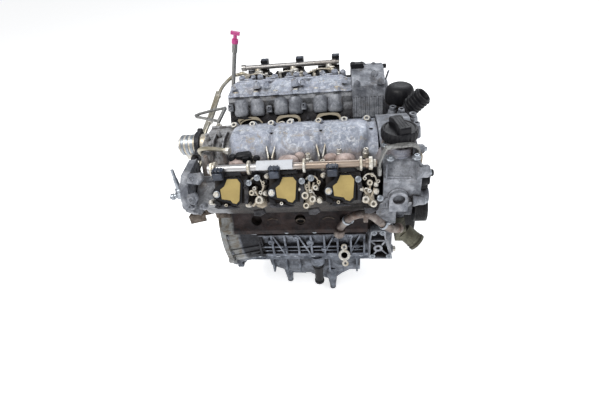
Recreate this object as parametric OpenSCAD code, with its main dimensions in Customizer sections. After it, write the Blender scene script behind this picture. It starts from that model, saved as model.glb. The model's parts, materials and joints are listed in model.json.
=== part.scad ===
/* [Cylinders] */
// Distance between neighbouring bores of a bank
bore_pitch = 106; // [105:0.5:107]
// Bore diameter
bore_d = 92; // [88:1:93]
// Tilt of each bank from the vertical
bank_tilt = 30; // [29.5:0.5:30.5]
// Crank throw, half of the stroke
throw = 43; // [40:0.5:44]
// Connecting rod length between centres
rod_len = 148; // [147:0.5:149]
// How far the near bank sits ahead of the far bank
bank_offset = 36; // [35:0.5:37]

/* [Shafts] */
// Main journal diameter
main_d = 64; // [60:1:66]
// Crank pin diameter
pin_d = 52; // [48:1:54]
// Camshaft journal diameter
cam_d = 26; // [24:1:27]
// Crank pulley diameter
pulley_d = 158; // [140:1:164]

/* [Outside] */
// Diameter of the gearbox mating flange
bell_d = 376; // [370:1:380]
// Diameter of the oil filler cap
filler_d = 64; // [60:1:68]
// Diameter of the fuel rails
rail_d = 14; // [12:0.5:16]
// Height of the crank axis above the feet
crank_height = 236; // [230:1:245]

/* [Hidden] */
$fn = 64;

c30 = cos(bank_tilt);
s30 = sin(bank_tilt);
rear_x = 14;
front_x = 385;
far_x = 340;
c0 = 66;
deck = 222;
joint = 318;
cam_in = -48;
cam_out = 18;
sole = -crank_height;
bell_z = 36;
pump_yz = [-114, 98];
filter_xy = [450, 18];
filler_xy = [417, -230];
sensor_xy = [233, -130];
// Fuel rail centre lines as (outboard Y, Z)
function rail_p(near) = near ? [275, 337] : [271, 329];
// Front end of a head and its cover
function end_x(near) = near ? front_x : far_x;
cyl = [c0, c0 + bore_pitch, c0 + 2 * bore_pitch];

// Bank coordinates (across the bank, along the bores) to (Y, Z)
function pl(p, l) = [p * c30 + l * s30, l * c30 - p * s30];
// Crank pin angles from +Z towards +Y, far then near
function far_phi(k) = 95 + 120 * k;
function near_phi(k) = far_phi(k) + 60;
function pin_l(phi, beta) = throw * cos(phi - beta) + sqrt(rod_len * rod_len - pow(throw * sin(phi - beta), 2));

// Extrudes a (Y, Z) outline along X
module ext(x0, x1) { translate([x0, 0, 0]) rotate([90, 0, 90]) linear_extrude(x1 - x0) children(); }
module bank(near) { if (near) translate([bank_offset, 0, 0]) mirror([0, 1, 0]) children(); else children(); }
module side(near) { if (near) mirror([0, 1, 0]) children(); else children(); }
// Local z along the bores, local y outboard
module tilt() { rotate([-bank_tilt, 0, 0]) children(); }
module xcyl(r, x0, x1) { translate([x0, 0, 0]) rotate([0, 90, 0]) cylinder(r = r, h = x1 - x0); }
module at_yz(p) { translate([0, p[0], p[1]]) children(); }
// Straight rod between two points
module rod(a, b, r) {
  d = b - a; l = norm(d);
  translate(a) rotate([0, acos(d[2] / l), atan2(d[1], d[0])]) cylinder(r = r, h = l);
}
// Smooth curve through points
function spline(p, n) = let (m = len(p) - 1) [for (i = [0:m - 1]) let (a = p[max(i - 1, 0)], b = p[i], c = p[i + 1], d = p[min(i + 2, m)])
  for (j = [0:n - (i == m - 1 ? 0 : 1)]) let (t = j / n) 0.5 * (2 * b + (c - a) * t + (2 * a - 5 * b + 4 * c - d) * t * t + (3 * b - a - 3 * c + d) * t * t * t)];
function unit(v) = v / norm(v);
// Bent tube along a smooth curve; ref is a direction that the curve never takes
module tube(pts, r, ref = [1, 0, 0], sides = 12, steps = 3) {
  c = spline(pts, steps);
  m = len(c);
  rings = [for (i = [0:m - 1]) let (t = unit(c[min(i + 1, m - 1)] - c[max(i - 1, 0)]), u = unit(cross(t, ref)), v = cross(t, u))
    for (j = [0:sides - 1]) c[i] + r * (cos(j * 360 / sides) * u + sin(j * 360 / sides) * v)];
  sidesf = [for (i = [0:m - 2]) for (j = [0:sides - 1]) let (k = (j + 1) % sides) [i * sides + j, i * sides + k, (i + 1) * sides + k, (i + 1) * sides + j]];
  polyhedron(points = rings, faces = concat(sidesf, [[for (j = [sides - 1:-1:0]) j]], [[for (j = [0:sides - 1]) (m - 1) * sides + j]]), convexity = 6);
}
// Tube made of straight lengths with a slightly proud ball at each bend
module elbows(pts, r) {
  for (i = [0:len(pts) - 2]) rod(pts[i], pts[i + 1], r);
  for (i = [1:len(pts) - 2]) translate(pts[i]) sphere(r = r + 0.6);
}
// Frame on an intake port face of the far bank: z out of the face, y down along it
module port_face() { translate([0, 299, 301]) rotate([-54, 0, 0]) children(); }

// ---------- block ----------
module block_half() {
  polygon([[0, -50], [146, -50], [146, -38], [158, -36], [158, -26], [150, -24], [154, 20], [166, 66], [178, 82], [198, 88], [198, 100],
    [190, 116], pl(86, deck - 8), pl(86, deck), pl(-74, deck), [34, 206], [24, 178], [0, 172]]);
}
module bell_body() {
  difference() {
    union() {
      translate([0, 0, bell_z]) xcyl(bell_d / 2, 0, 13);
      translate([12, 0, bell_z]) rotate([0, 90, 0]) cylinder(r1 = 180, r2 = 163, h = 84);
      for (a = [200, 228, 256, 284, 312, 340]) translate([0, (bell_d / 2 - 4) * cos(a), bell_z + (bell_d / 2 - 4) * sin(a)]) xcyl(12, 0, 14);
    }
    translate([0, 0, bell_z]) xcyl(bell_d / 2 - 20, -1, 8);
    for (a = [200, 228, 256, 284, 312, 340]) translate([0, (bell_d / 2 - 4) * cos(a), bell_z + (bell_d / 2 - 4) * sin(a)]) xcyl(5.5, -1, 16);
  }
}
module cylinder_block() {
  color("dimgray") difference() {
    union() {
      ext(rear_x, front_x) block_half();
      ext(rear_x, front_x) mirror([1, 0]) block_half();
      intersection() { bell_body(); translate([-5, -220, -50]) cube([105, 440, 300]); }
      // skirt ribs
      for (s = [-1, 1]) for (i = [0:9]) translate([52 + i * 34, s > 0 ? 146 : -166, -25]) cube([5, 20, 89]);
      for (s = [-1, 1]) translate([70, s > 0 ? 148 : -163, 2]) cube([290, 15, 5]);
      for (s = [-1, 1]) for (i = [0:2]) translate([84 + i * bore_pitch * 0.9, s * 178, 76]) cylinder(r = 9, h = 22);
    }
    // crankcase bays
    for (k = [0:2]) xcyl_bay(k);
    translate([19.6, -100, -51]) cube([343.4, 200, 51]);
    // pocket of the oil pump, and seat of the oil outlet
    translate([371.8, -40.3, -51]) cube([14, 80.6, 16]);
    translate([309, -148, -30]) rotate([60, 0, 0]) translate([0, 0, -1]) cylinder(r = 15.3, h = 50);
    translate([298, -170, -2]) cube([22, 16.6, 14]);
    // room behind the accessory bracket
    translate([366, -210, 60]) cube([22, 28.6, 60]);
    translate([19, -60, -1]) cube([347, 120, 40 - 39]);
    // main bearing line and seal openings
    xcyl(main_d / 2 + 0.05, 15, 350 + 25);
    xcyl(46, -1, 19);
    xcyl(40, 370, 390);
    // bores
    for (k = [0:2]) translate([cyl[k], 0, 0]) tilt() translate([0, 0, 80]) cylinder(d = bore_d, h = 204);
    bank(true) for (k = [0:2]) translate([cyl[k], 0, 0]) tilt() translate([0, 0, 80]) cylinder(d = bore_d, h = 204);
    // oil gallery in the valley
    translate([0, 0, 140]) xcyl(8, 30, 400);
    // coolant core openings under the deck, outboard
    for (s = [-1, 1]) for (k = [0:2]) translate([(s < 0 ? bank_offset : 0) + cyl[k], s * 192, 124]) rotate([s * 90, 0, 0]) translate([0, 0, -14]) cylinder(r = 13, h = 30);
  }
}
module xcyl_bay(k) {
  x0 = 43.5 + bore_pitch * k;
  xcyl(94, x0, x0 + 82);
  translate([x0, -94, -51]) cube([82, 188, 52]);
}
module main_bearing_caps() {
  color("darkgray") for (k = [0:3]) difference() {
    translate([31 - 11 + bore_pitch * k, -58, -46]) cube([22, 116, 45.9]);
    xcyl(main_d / 2 + 0.05, 0, 400);
    for (s = [-1, 1]) translate([31 + bore_pitch * k, s * 46, -47]) cylinder(r = 5.5, h = 50);
  }
}
module rear_seal_carrier() {
  color("gray") difference() {
    xcyl(72, 2.2, 7.8);
    xcyl(40.2, 0, 20);
    for (a = [0:60:300]) rotate([a, 0, 0]) translate([0, 64, 0]) xcyl(3.3, 0, 20);
  }
}

// ---------- sump ----------
// Cross outline of the pan, drawn in by t
module sump_outline(t) {
  h = [[0, -50.2], [146 - t, -50.2], [146 - t, -62], [130 - t, -70], [120 - t, -120], [104 - t, -168 + t], [70, -190 + t], [0, -190 + t]];
  union() { polygon(h); mirror([1, 0]) polygon(h); }
}
// Side outline of the pan, with sloping ends, up to z1
module pan_side(z1) { polygon([[96, z1], [96, -112], [134, -148], [182, -174], [222, -190], [286, -190], [323, -146], [352, -146], [352, z1]]); }
module side_ext() { translate([0, 220, 0]) rotate([90, 0, 0]) linear_extrude(440) children(); }
module leg(x, y) {
  translate([x, y, sole]) cylinder(r = 9, h = 10);
  translate([x, y, sole + 8]) cylinder(r1 = 9, r2 = 16, h = 54);
  translate([x, y, sole + 61]) cylinder(r = 16, h = -138 - sole - 61);
}
// Upright web from a leg (x0, y0) to the pan at (x1, y1), its lower edge from z0 to z1
module pan_rib(x0, y0, x1, y1, z0, z1) {
  l = norm([x1 - x0, y1 - y0]);
  translate([x0, y0, 0]) rotate([0, 0, atan2(y1 - y0, x1 - x0)]) translate([0, 2.5, 0]) rotate([90, 0, 0]) linear_extrude(5)
    polygon([[0, z0], [l, z1], [l, z1 + 34], [0, z0 + 40]]);
}
module oil_sump() {
  color("slategray") difference() {
    union() {
      ext(rear_x, front_x) polygon([[-146, -50.2], [146, -50.2], [146, -62], [-146, -62]]);
      intersection() { ext(90, 353) sump_outline(0); side_ext() pan_side(-49); }
      intersection() { bell_body(); translate([-5, -220, -250]) cube([105, 440, 199.8]); }
      for (s = [-1, 1]) { leg(134, s * 75); leg(270, s * 103); }
      // V-shaped ribs under the pan
      for (s = [-1, 1]) for (q = [[134, 75, 190, 92, -200, -182], [270, 103, 206, 88, -200, -188], [270, 103, 318, 96, -200, -158], [134, 75, 88, 92, -200, -130]]) pan_rib(q[0], s * q[1], q[2], s * q[3], q[4], q[5]);
      for (s = [-1, 1]) for (x = [104, 142, 180, 264, 302, 340]) translate([x, s > 0 ? 108 : -140, -122]) cube([5, 32, 66]);
      // boss of the level sensor
      translate([sensor_xy[0], sensor_xy[1], -86]) cylinder(r = 22, h = 30);
    }
    difference() {
      intersection() { translate([0, 0, 0.5]) ext(104, 344) sump_outline(8); side_ext() offset(delta = -8) pan_side(-30); }
      translate([sensor_xy[0], sensor_xy[1], -200]) cylinder(r = 21, h = 160);
    }
    xcyl(94, 24, 110);
    translate([sensor_xy[0], sensor_xy[1], -90]) cylinder(r = 10, h = 28);
    translate([sensor_xy[0], sensor_xy[1], -200]) cylinder(r = 12.6, h = 114);
    translate([0, 0, bell_z]) xcyl(bell_d / 2 - 20, -1, 8);
    xcyl(46, -1, 26);
    translate([250, 0, -191]) cylinder(r = 9.1, h = 30);
  }
}
module sump_sensor() {
  color([0.06, 0.06, 0.07]) translate([sensor_xy[0], sensor_xy[1], 0]) union() {
    translate([0, 0, -168]) cylinder(r = 12, h = 81.8);
    translate([0, 0, -176]) cylinder(r = 8, h = 10);
    translate([0, 0, -88]) cylinder(r = 9.9, h = 24);
  }
}
module drain_plug() {
  color("silver") union() {
    translate([250, 0, -190.2]) cylinder(r = 9, h = 16);
    translate([250, 0, -197]) cylinder(r = 15, h = 6.8);
    translate([250, 0, -204]) cylinder(r = 11, h = 8, $fn = 6);
  }
}

// ---------- heads ----------
head_poly = [pl(-76, deck + 1.5), pl(-80, 262), pl(-80, 292), pl(-90, 306), pl(-90, joint), pl(66, joint), pl(66, joint + 14),
  [227, 272], [238, 296], [262, 302], [275, 318], [283, 317], [310, 280], [304, 268], [276, 252], [252, 226], [236, 196], [222, 178], [204, 168], pl(86, deck + 1.5)];
module head_solid(near) {
  difference() {
    union() {
      side(near) ext(rear_x, end_x(near)) polygon(head_poly);
      // half barrels on the valley wall
      bank(near) for (k = [0:2]) for (d = [-21, 21]) translate([cyl[k] + d, 0, 0]) tilt() translate([0, -76, deck + 46]) cylinder(r = 14, h = 42);
      // port necks in the valley
      bank(near) for (k = [0:2]) translate([cyl[k], 0, 0]) tilt() translate([0, -66, deck + 30]) rotate([90, 0, 0]) linear_extrude(20) oval(66, 30);
    }
    side(near) {
      // valleys between the intake towers on the outboard side
      for (k = [0:3]) translate([(near ? bank_offset : 0) + c0 - bore_pitch / 2 + k * bore_pitch, 0, 0])
        ext(k == 0 ? -40 : -22, k == 3 ? 90 : 20) polygon([[250, 330], [340, 330], [340, 236], [292, 236], [268, 262], [242, 282]]);
    }
    bank(near) {
      for (k = [0:2]) translate([cyl[k], 0, 0]) {
        // chamber, valve guides, ports
        tilt() translate([0, 0, deck]) cylinder(r = 44, h = 14.5);
        for (d = [-18, 18]) {
          tilt() valve_at(d, -20, -20) cylinder(r = 3, h = 60);
          tilt() valve_at(d, 20, 0) cylinder(r = 3, h = 60);
        }
        tilt() translate([0, -30, deck + 28]) rotate([90, 0, 0]) linear_extrude(70) oval(52, 18);
        port_face() translate([-1, 0, -34]) cylinder(r = 15, h = 40);
        tube_cut(rail_p(near));
      }
      // camshaft bearing line
      for (p = [cam_in, cam_out]) tilt() translate([0, p, joint]) xcyl(cam_d / 2 + 0.05, -80, 400);
      // glow plug holes
      for (k = [0:2]) translate([cyl[k], 0, 0]) tilt() translate([0, 0, deck]) cylinder(r = 4.5, h = 60);
    }
    // camshaft troughs
    for (i = [0:3]) trough(near, i);
    // chain opening towards the front
    if (near) side(true) ext(356, front_x + 1) polygon([pl(-70, 240), pl(-70, joint + 1), pl(42, joint + 1), pl(42, 240)]);
    // notch for the rear bracket
    if (near) translate([10, -245, 140]) cube([40.4, 61, 43.4]);
  }
}
module tube_cut(p) { translate([0, p[0], p[1]]) { rod([0, 0, 0], [0, -88, -132], 9.2); rod([0, 0, 0], [0, -16, -24], 12.4); } }
module oval(w, h) { union() { square([w - h, h], center = true); for (s = [-1, 1]) translate([s * (w - h) / 2, 0]) circle(d = h); } }
module valve_at(x, p, a) { translate([x, p, deck + 6]) rotate([-a, 0, 0]) children(); }
// Troughs lie between the camshaft bearing walls
function wall_x(near, i) = (near ? bank_offset : 0) + c0 - bore_pitch / 2 + bore_pitch * i;
module trough(near, i) {
  x0 = max(rear_x + 9, wall_x(near, i) + 7);
  x1 = min(near ? 350 : 330, wall_x(near, i + 1) - 7);
  if (x1 > x0 + 5) side(near) ext(x0, x1) polygon([pl(-76, 266), pl(-76, joint + 1), pl(44, joint + 1), pl(44, 266)]);
}
module head_far() { color([0.62, 0.63, 0.64]) head_solid(false); }
module head_near() { color([0.62, 0.63, 0.64]) head_solid(true); }
module gasket(near) {
  color([0.25, 0.25, 0.27]) difference() {
    side(near) ext(rear_x, front_x) polygon([pl(-74, deck), pl(-74, deck + 1.5), pl(86, deck + 1.5), pl(86, deck)]);
    bank(near) for (k = [0:2]) translate([cyl[k], 0, 0]) tilt() translate([0, 0, deck - 5]) cylinder(d = bore_d + 1, h = 12);
  }
}
module head_gasket_far() { gasket(false); }
module head_gasket_near() { gasket(true); }

// ---------- cam covers ----------
module cover_half(near) {
  d = near ? 0 : 10;
  polygon([pl(-90, joint), pl(-90, joint + 8), pl(-82, joint + 8), [110, 330 - d / 2], [134, 341 - d], [160, 343 - d],
    [186, 332 - d], [204, 312 - d], [207, 296 - d], pl(50, joint + 8), pl(50, joint)]);
}
module cover_low(near) {
  d = near ? 0 : 5;
  polygon([pl(-90, joint), pl(-90, joint + 8), pl(-78, joint + 10), [110, 325], [134, 329 - d / 2], [160, 329 - d],
    [184, 318 - d], [196, 304 - d], [204, 284], pl(50, joint + 8), pl(50, joint)]);
}
function ear_x(near) = near ? [68, 111, 154, 197, 261, 318, 367] : [36, 89, 142, 195, 248, 301];
function rim_x(near) = near ? [60, 166, 272, 372] : [26, 119, 225, 328];
module cover(near) {
  color([0.78, 0.78, 0.77]) difference() {
    union() {
      side(near) ext(rear_x, end_x(near)) cover_low(near);
      bank(near) for (k = [0:2]) intersection() {
        ext(cyl[k] - 46, cyl[k] + 44) cover_half(near);
        translate([cyl[k], 148, 200]) linear_extrude(200) lobe_plan();
      }
      // bolt ears along both edges
      side(near) for (x = ear_x(near)) translate([x, 0, 0]) tilt() translate([0, -88, joint]) cylinder(r = 10, h = 10);
      side(near) for (x = rim_x(near)) translate([x, 0, 0]) tilt() translate([0, 55.5, joint]) cylinder(r = 8, h = 10);
      side(near) for (x = rim_x(near)) translate([x, 0, 0]) tilt() translate([-8, 46, joint]) cube([16, 10, 9]);
    }
    // hollow between the bearing walls
    for (i = [0:3]) cover_hollow(near, i);
    bank(near) for (p = [cam_in, cam_out]) tilt() translate([0, p, joint]) xcyl(cam_d / 2 + 0.05, -80, 400);
    if (near) side(true) ext(356, front_x + 1) polygon([pl(-70, joint - 1), pl(-70, joint + 4), pl(-48, joint + 21), pl(18, joint + 21), pl(40, joint + 4), pl(40, joint - 1)]);
    // bolt holes
    side(near) for (x = ear_x(near)) translate([x, 0, 0]) tilt() translate([0, -88, joint - 1]) cylinder(r = 3.3, h = 12);
  }
}
module lobe_plan() {
  union() {
    translate([-46, -60]) square([90, 92]);
    translate([-22, 30]) circle(r = 24);
    translate([20, 30]) circle(r = 24);
    translate([-22, 30]) square([42, 24]);
  }
}
module cover_hollow(near, i) {
  x0 = max(rear_x + 9, wall_x(near, i) + 8);
  x1 = min(near ? 350 : 330, wall_x(near, i + 1) - 8);
  if (x1 > x0 + 5) side(near) ext(x0, x1) polygon([pl(-71, joint - 1), pl(-71, joint + 10), pl(-62, joint + 20), pl(-50, joint + 22), pl(26, joint + 22), pl(40.5, joint + 12), pl(40.5, joint - 1)]);
}
module cam_cover_far() { cover(false); }
module cam_cover_near() { cover(true); }

// ---------- front housings ----------
front_poly = [pl(-72, deck + 1.5), pl(-90, 300), [84, 330], [118, 342], [146, 350], [170, 350], [210, 340], [250, 322], [262, 300], [258, 262], [232, 214], pl(86, deck + 1.5)];
near_front_poly = [pl(-72, deck + 1.5), pl(-90, 300), [84, 334], [118, 345], [170, 348], [230, 344], [270, 334], [296, 314], [298, 262], [268, 236], [232, 200], pl(86, deck + 1.5)];
module front_shell(pts, x0, x1) {
  difference() {
    ext(x0 + 0.1, x1) polygon(pts);
    ext(x0 - 1, x1 - 7) offset(delta = -8) polygon(pts);
    ext(front_x + 1, x1 - 7) polygon([pl(-62, deck), pl(-70, 250), pl(60, 250), pl(60, deck)]);
  }
}
module front_housing_far() {
  color([0.7, 0.71, 0.72]) difference() {
    union() {
      front_shell(front_poly, far_x, 424);
      // vertical ribs of the valley side
      for (i = [0:6]) ext(346 + i * 11, 350 + i * 11) polygon([pl(-74, 240), pl(-92, 250), pl(-98, 298), pl(-86, 304)]);
      rod([422, 150, 286], [438, 150, 340], 2.5);
      for (p = [cam_in, cam_out]) tilt() translate([0, p, joint]) xcyl(27, 420, 432);
      tilt() translate([0, 72, joint + 6]) xcyl(12, 400, 436);
    }
    for (p = [cam_in, cam_out]) tilt() translate([0, p, joint]) xcyl(18, 428, 440);
  }
}
module front_housing_near() {
  color([0.7, 0.71, 0.72]) difference() {
    union() {
      side(true) front_shell(near_front_poly, front_x, 452);
      side(true) {
        // arch boss on the outboard face
        translate([413, 292, 276]) rotate([0, 0, 0]) rotate([90, 0, 0]) translate([0, 0, -16]) cylinder(r = 17, h = 20);
        translate([396, 288, 248]) cube([34, 20, 28]);
        // bosses facing the front
        translate([0, 268, 306]) xcyl(15, 445, 468);
        translate([0, 272, 258]) xcyl(15, 445, 470);
        tilt() translate([0, cam_in, joint]) xcyl(27, 448, 460);
        // neck of the oil filler
        translate([filler_xy[0], -filler_xy[1], 326]) cylinder(r = 26, h = 35.6);
        translate([filler_xy[0], -filler_xy[1], 338]) cylinder(r = 31, h = 14);
      }
    }
    side(true) {
      translate([filler_xy[0], -filler_xy[1], 320]) cylinder(r = 22, h = 60);
      translate([413, 309, 276]) rotate([90, 0, 0]) cylinder(r = 11, h = 9);
      translate([0, 268, 306]) xcyl(9, 458, 470);
      translate([0, 272, 258]) xcyl(9, 460, 472);
    }
  }
}
timing_pts = [[0, -50], [148, -50], [156, -38], [152, 40], [168, 84], [190, 110], pl(86, deck), pl(-72, deck), [30, 218], [0, 218]];
module timing_cover() {
  color([0.66, 0.67, 0.68]) difference() {
    union() {
      for (n = [false, true]) side(n) ext(front_x + 0.1, 430) polygon(timing_pts);
      xcyl(52, 428, 444);
      // ribs on the front face
      for (a = [35, 90, 215, 325]) rotate([a, 0, 0]) translate([429, 46, -3]) cube([8, 84, 6]);
      for (q = [[140, -30], [150, 60], [-140, -30], [60, 200], [-60, 200]]) translate([0, q[0], q[1]]) xcyl(11, 420, 436);
    }
    for (n = [false, true]) side(n) ext(front_x - 1, 423) polygon([[-1, -42], [140, -42], [147, -34], [143, 40], [158, 84], [176, 112], pl(78, deck + 2), pl(-62, deck + 2), [24, 209], [-1, 209]]);
    xcyl(42, 420, 450);
    // shaft opening of the water pump
    at_yz(pump_yz) xcyl(16, 420, 432);
  }
}
module oil_filler_cap() {
  color([0.05, 0.05, 0.055]) translate([filler_xy[0], filler_xy[1], 0]) {
    translate([0, 0, 362]) cylinder(d = filler_d, h = 20);
    for (a = [0:30:330]) rotate([0, 0, a]) translate([filler_d / 2 - 4, 0, 362]) cylinder(r = 5.2, h = 18);
    translate([0, 0, 346]) difference() { cylinder(r = 21.6, h = 17); translate([0, 0, -1]) cylinder(r = 17, h = 16); }
    translate([-6, -25, 381]) cube([12, 50, 13]);
  }
}
conn_u = [0.62, -0.2, 0.76] / norm([0.62, -0.2, 0.76]);
conn_p = [468, -36, 324];
module oil_filter_housing() {
  color([0.3, 0.3, 0.31]) difference() {
    union() {
      translate([filter_xy[0], filter_xy[1], 229]) cylinder(r = 32, h = 87);
      translate([392, -14, 218.2]) cube([58, 44, 30]);
      translate([filter_xy[0], filter_xy[1], 300]) cylinder(r = 35, h = 16);
      // arm to the connector
      translate([430, -44, 262]) cube([30, 40, 40]);
      rod(conn_p - conn_u * 40, conn_p - conn_u * 0.3, 15);
    }
    translate([filter_xy[0], filter_xy[1], 236]) cylinder(r = 27, h = 100);
  }
}
module oil_filter_cap() {
  color([0.05, 0.05, 0.055]) translate([filter_xy[0], filter_xy[1], 0]) difference() {
    union() {
      translate([0, 0, 316.3]) cylinder(r = 31, h = 26);
      translate([0, 0, 342]) cylinder(r1 = 30, r2 = 20, h = 10);
      for (a = [0:20:340]) rotate([0, 0, a]) translate([30, 0, 319]) cylinder(r = 3, h = 23);
      translate([0, 0, 300]) cylinder(r = 26.6, h = 17);
      translate([0, 0, 350]) cylinder(r = 11, h = 8, $fn = 6);
    }
    translate([0, 0, 299]) cylinder(r = 23, h = 44);
  }
}
module oil_filter_element() {
  color([0.85, 0.78, 0.55]) translate([filter_xy[0], filter_xy[1], 237]) difference() { cylinder(r = 22, h = 100); translate([0, 0, -1]) cylinder(r = 10, h = 102); }
}
module coolant_connector() {
  color([0.04, 0.04, 0.045]) difference() {
    union() {
      rod(conn_p, conn_p + conn_u * 42, 18);
      for (i = [0:4]) rod(conn_p + conn_u * (5 + i * 8), conn_p + conn_u * (9 + i * 8), 22);
    }
    rod(conn_p + conn_u * 12, conn_p + conn_u * 50, 14);
  }
}

// ---------- water pump ----------
module water_pump_housing() {
  color([0.55, 0.55, 0.53]) difference() {
    union() {
      at_yz(pump_yz) xcyl(40, 430.1, 454);
      at_yz(pump_yz) xcyl(24, 452, 476);
      translate([431, -157, 66]) cube([18, 34, 34]);
    }
    at_yz(pump_yz) xcyl(10.05, 424, 490);
    at_yz(pump_yz) xcyl(33, 424, 446);
  }
}
module water_pump_pulley() {
  color([0.05, 0.05, 0.05]) difference() {
    union() {
      at_yz(pump_yz) xcyl(10, 436, 484);
      at_yz(pump_yz) xcyl(28, 432.5, 442);
      at_yz(pump_yz) xcyl(40, 480, 510);
    }
    at_yz(pump_yz) xcyl(30, 488, 512);
    for (i = [0:5]) at_yz(pump_yz) groove_ring(40, 484 + i * 3.6);
  }
}
module groove_ring(r, x) { difference() { xcyl(r + 2, x, x + 2); xcyl(r - 2.2, x - 1, x + 3); } }
module water_neck() {
  color([0.36, 0.36, 0.3]) difference() {
    union() {
      rod([452, -180, 73], [484, -195, 48], 20);
      rod([479.5, -193, 51.5], [484, -195, 48], 22);
      translate([431, -196, 56]) cube([24, 38.4, 40]);
    }
    rod([458, -183, 68], [492, -199, 42], 16);
  }
}

// ---------- crank train ----------
module crankshaft() {
  color([0.6, 0.6, 0.6]) difference() {
    union() {
      xcyl(40, -4, 10);
      for (k = [0:3]) xcyl(main_d / 2, 18 + bore_pitch * k, min(45, 364 - bore_pitch * k) + bore_pitch * k);
      for (k = [0:2]) {
        x = bore_pitch * k;
        crank_pin(x + 54, x + 79, far_phi(k));
        crank_pin(x + 89, x + 114, near_phi(k));
        web(x + 44.5, x + 54.5, far_phi(k));
        fly_web(x + 78.5, x + 89.5, far_phi(k), near_phi(k));
        web(x + 113.5, x + 124.5, near_phi(k));
      }
      xcyl(main_d / 2, 336, 362);
      xcyl(30, 361, 388);
      xcyl(34, 388, 404);
      xcyl(22, 403, 500);
      xcyl(30, 9, 20);
    }
    xcyl(15, -5, 14);
    for (a = [0:60:300]) rotate([a, 0, 0]) translate([0, 29, 0]) xcyl(4.5, -5, 9);
    xcyl(8, 460, 501);
  }
}
module crank_pin(x0, x1, phi) { translate([0, throw * sin(phi), throw * cos(phi)]) xcyl(pin_d / 2, x0, x1); }
module web(x0, x1, phi) {
  rotate([-phi, 0, 0]) ext(x0, x1) union() {
    translate([0, throw]) circle(r = 33);
    polygon([[-31, throw], [31, throw], [50, -10], [-50, -10]]);
    intersection() { circle(r = 76); translate([-70, -80]) square([140, 78]); }
  }
}
module fly_web(x0, x1, p1, p2) {
  ext(x0, x1) union() {
    for (p = [p1, p2]) translate([throw * sin(p), throw * cos(p)]) circle(r = 32);
    circle(r = 41);
  }
}
module crank_pulley() {
  color([0.05, 0.05, 0.05]) difference() {
    union() {
      xcyl(32, 446, 470);
      xcyl(pulley_d / 2, 468, 500);
    }
    xcyl(22.04, 440, 501);
    difference() { xcyl(pulley_d / 2 - 12, 484, 501); xcyl(34, 483, 502); }
    for (i = [0:5]) groove_ring(pulley_d / 2, 472 + i * 4.2);
  }
}
module pistons() { color([0.7, 0.7, 0.71]) for (k = [0:2]) { piston(false, k); piston(true, k); } }
module piston(near, k) {
  l = pin_l(near ? -near_phi(k) : far_phi(k), bank_tilt);
  bank(near) translate([cyl[k], 0, 0]) tilt() translate([0, 0, l]) difference() {
    translate([0, 0, -22]) cylinder(d = bore_d - 0.1, h = 52);
    xcyl(11.05, -50, 50);
    translate([0, 0, -24]) cylinder(r = 38, h = 44 - 1);
    for (i = [0:2]) translate([0, 0, 14 + i * 5]) difference() { cylinder(r = 50, h = 1.6); translate([0, 0, -1]) cylinder(r = bore_d / 2 - 4, h = 4); }
  }
  bank(near) translate([cyl[k], 0, 0]) tilt() translate([0, 0, l]) for (s = [-1, 1]) difference() {
    translate([s * 28 - 8, -15, -15]) cube([16, 30, 37]);
    xcyl(11.05, -50, 50);
  }
}
module piston_pins() {
  color("silver") for (near = [false, true]) for (k = [0:2]) bank(near) translate([cyl[k], 0, 0]) tilt()
    translate([0, 0, pin_l(near ? -near_phi(k) : far_phi(k), bank_tilt)]) difference() { xcyl(11, -37, 37); xcyl(6, -38, 38); }
}
module connecting_rods() {
  color([0.5, 0.5, 0.5]) for (near = [false, true]) for (k = [0:2]) {
    phi = near ? -near_phi(k) : far_phi(k);
    l = pin_l(phi, bank_tilt);
    a = [throw * sin(phi), throw * cos(phi)];
    b = [l * s30, l * c30];
    bank(near) translate([cyl[k], 0, 0]) ext(-10, 10) difference() {
      union() {
        translate(a) circle(r = 36);
        translate(b) circle(r = 17);
        translate(a) rotate(atan2(b[1] - a[1], b[0] - a[0])) polygon([[20, -20], [20, 20], [60, 11], [norm(b - a) - 8, 10], [norm(b - a) - 8, -10], [60, -11]]);
      }
      translate(a) circle(r = pin_d / 2 + 0.05);
      translate(b) circle(r = 11.05);
    }
  }
}

// ---------- valve gear ----------
module camshaft(near, p, teeth_x) {
  color([0.66, 0.66, 0.66]) bank(near) {
    xo = near ? bank_offset : 0;
    tilt() translate([0, p, joint]) {
      xcyl(cam_d / 2, rear_x + 10 - xo, teeth_x + 14 - xo);
      for (k = [0:2]) for (d = [-18, 18]) rotate([k * 120 + (p > 0 ? 40 : 0) + (near ? 15 : 0), 0, 0]) ext(cyl[k] + d - 7, cyl[k] + d + 7) union() {
        circle(r = 15);
        translate([0, 12]) circle(r = 9);
        polygon([[-14.6, 3], [14.6, 3], [8.6, 14.5], [-8.6, 14.5]]);
      }
      translate([teeth_x - xo, 0, 0]) sprocket(25, 8, 20);
    }
  }
}
module sprocket(r, w, n) {
  difference() {
    xcyl(r, 0, w);
    for (i = [0:n - 1]) rotate([i * 360 / n, 0, 0]) translate([0, r + 1, 0]) xcyl(2.6, -1, w + 1);
  }
}
module camshaft_far_inner() { camshaft(false, cam_in, 392); }
module camshaft_far_outer() { camshaft(false, cam_out, 392); }
module camshaft_near_inner() { camshaft(true, cam_in, 404); }
module camshaft_near_outer() { camshaft(true, cam_out, 404); }
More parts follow.
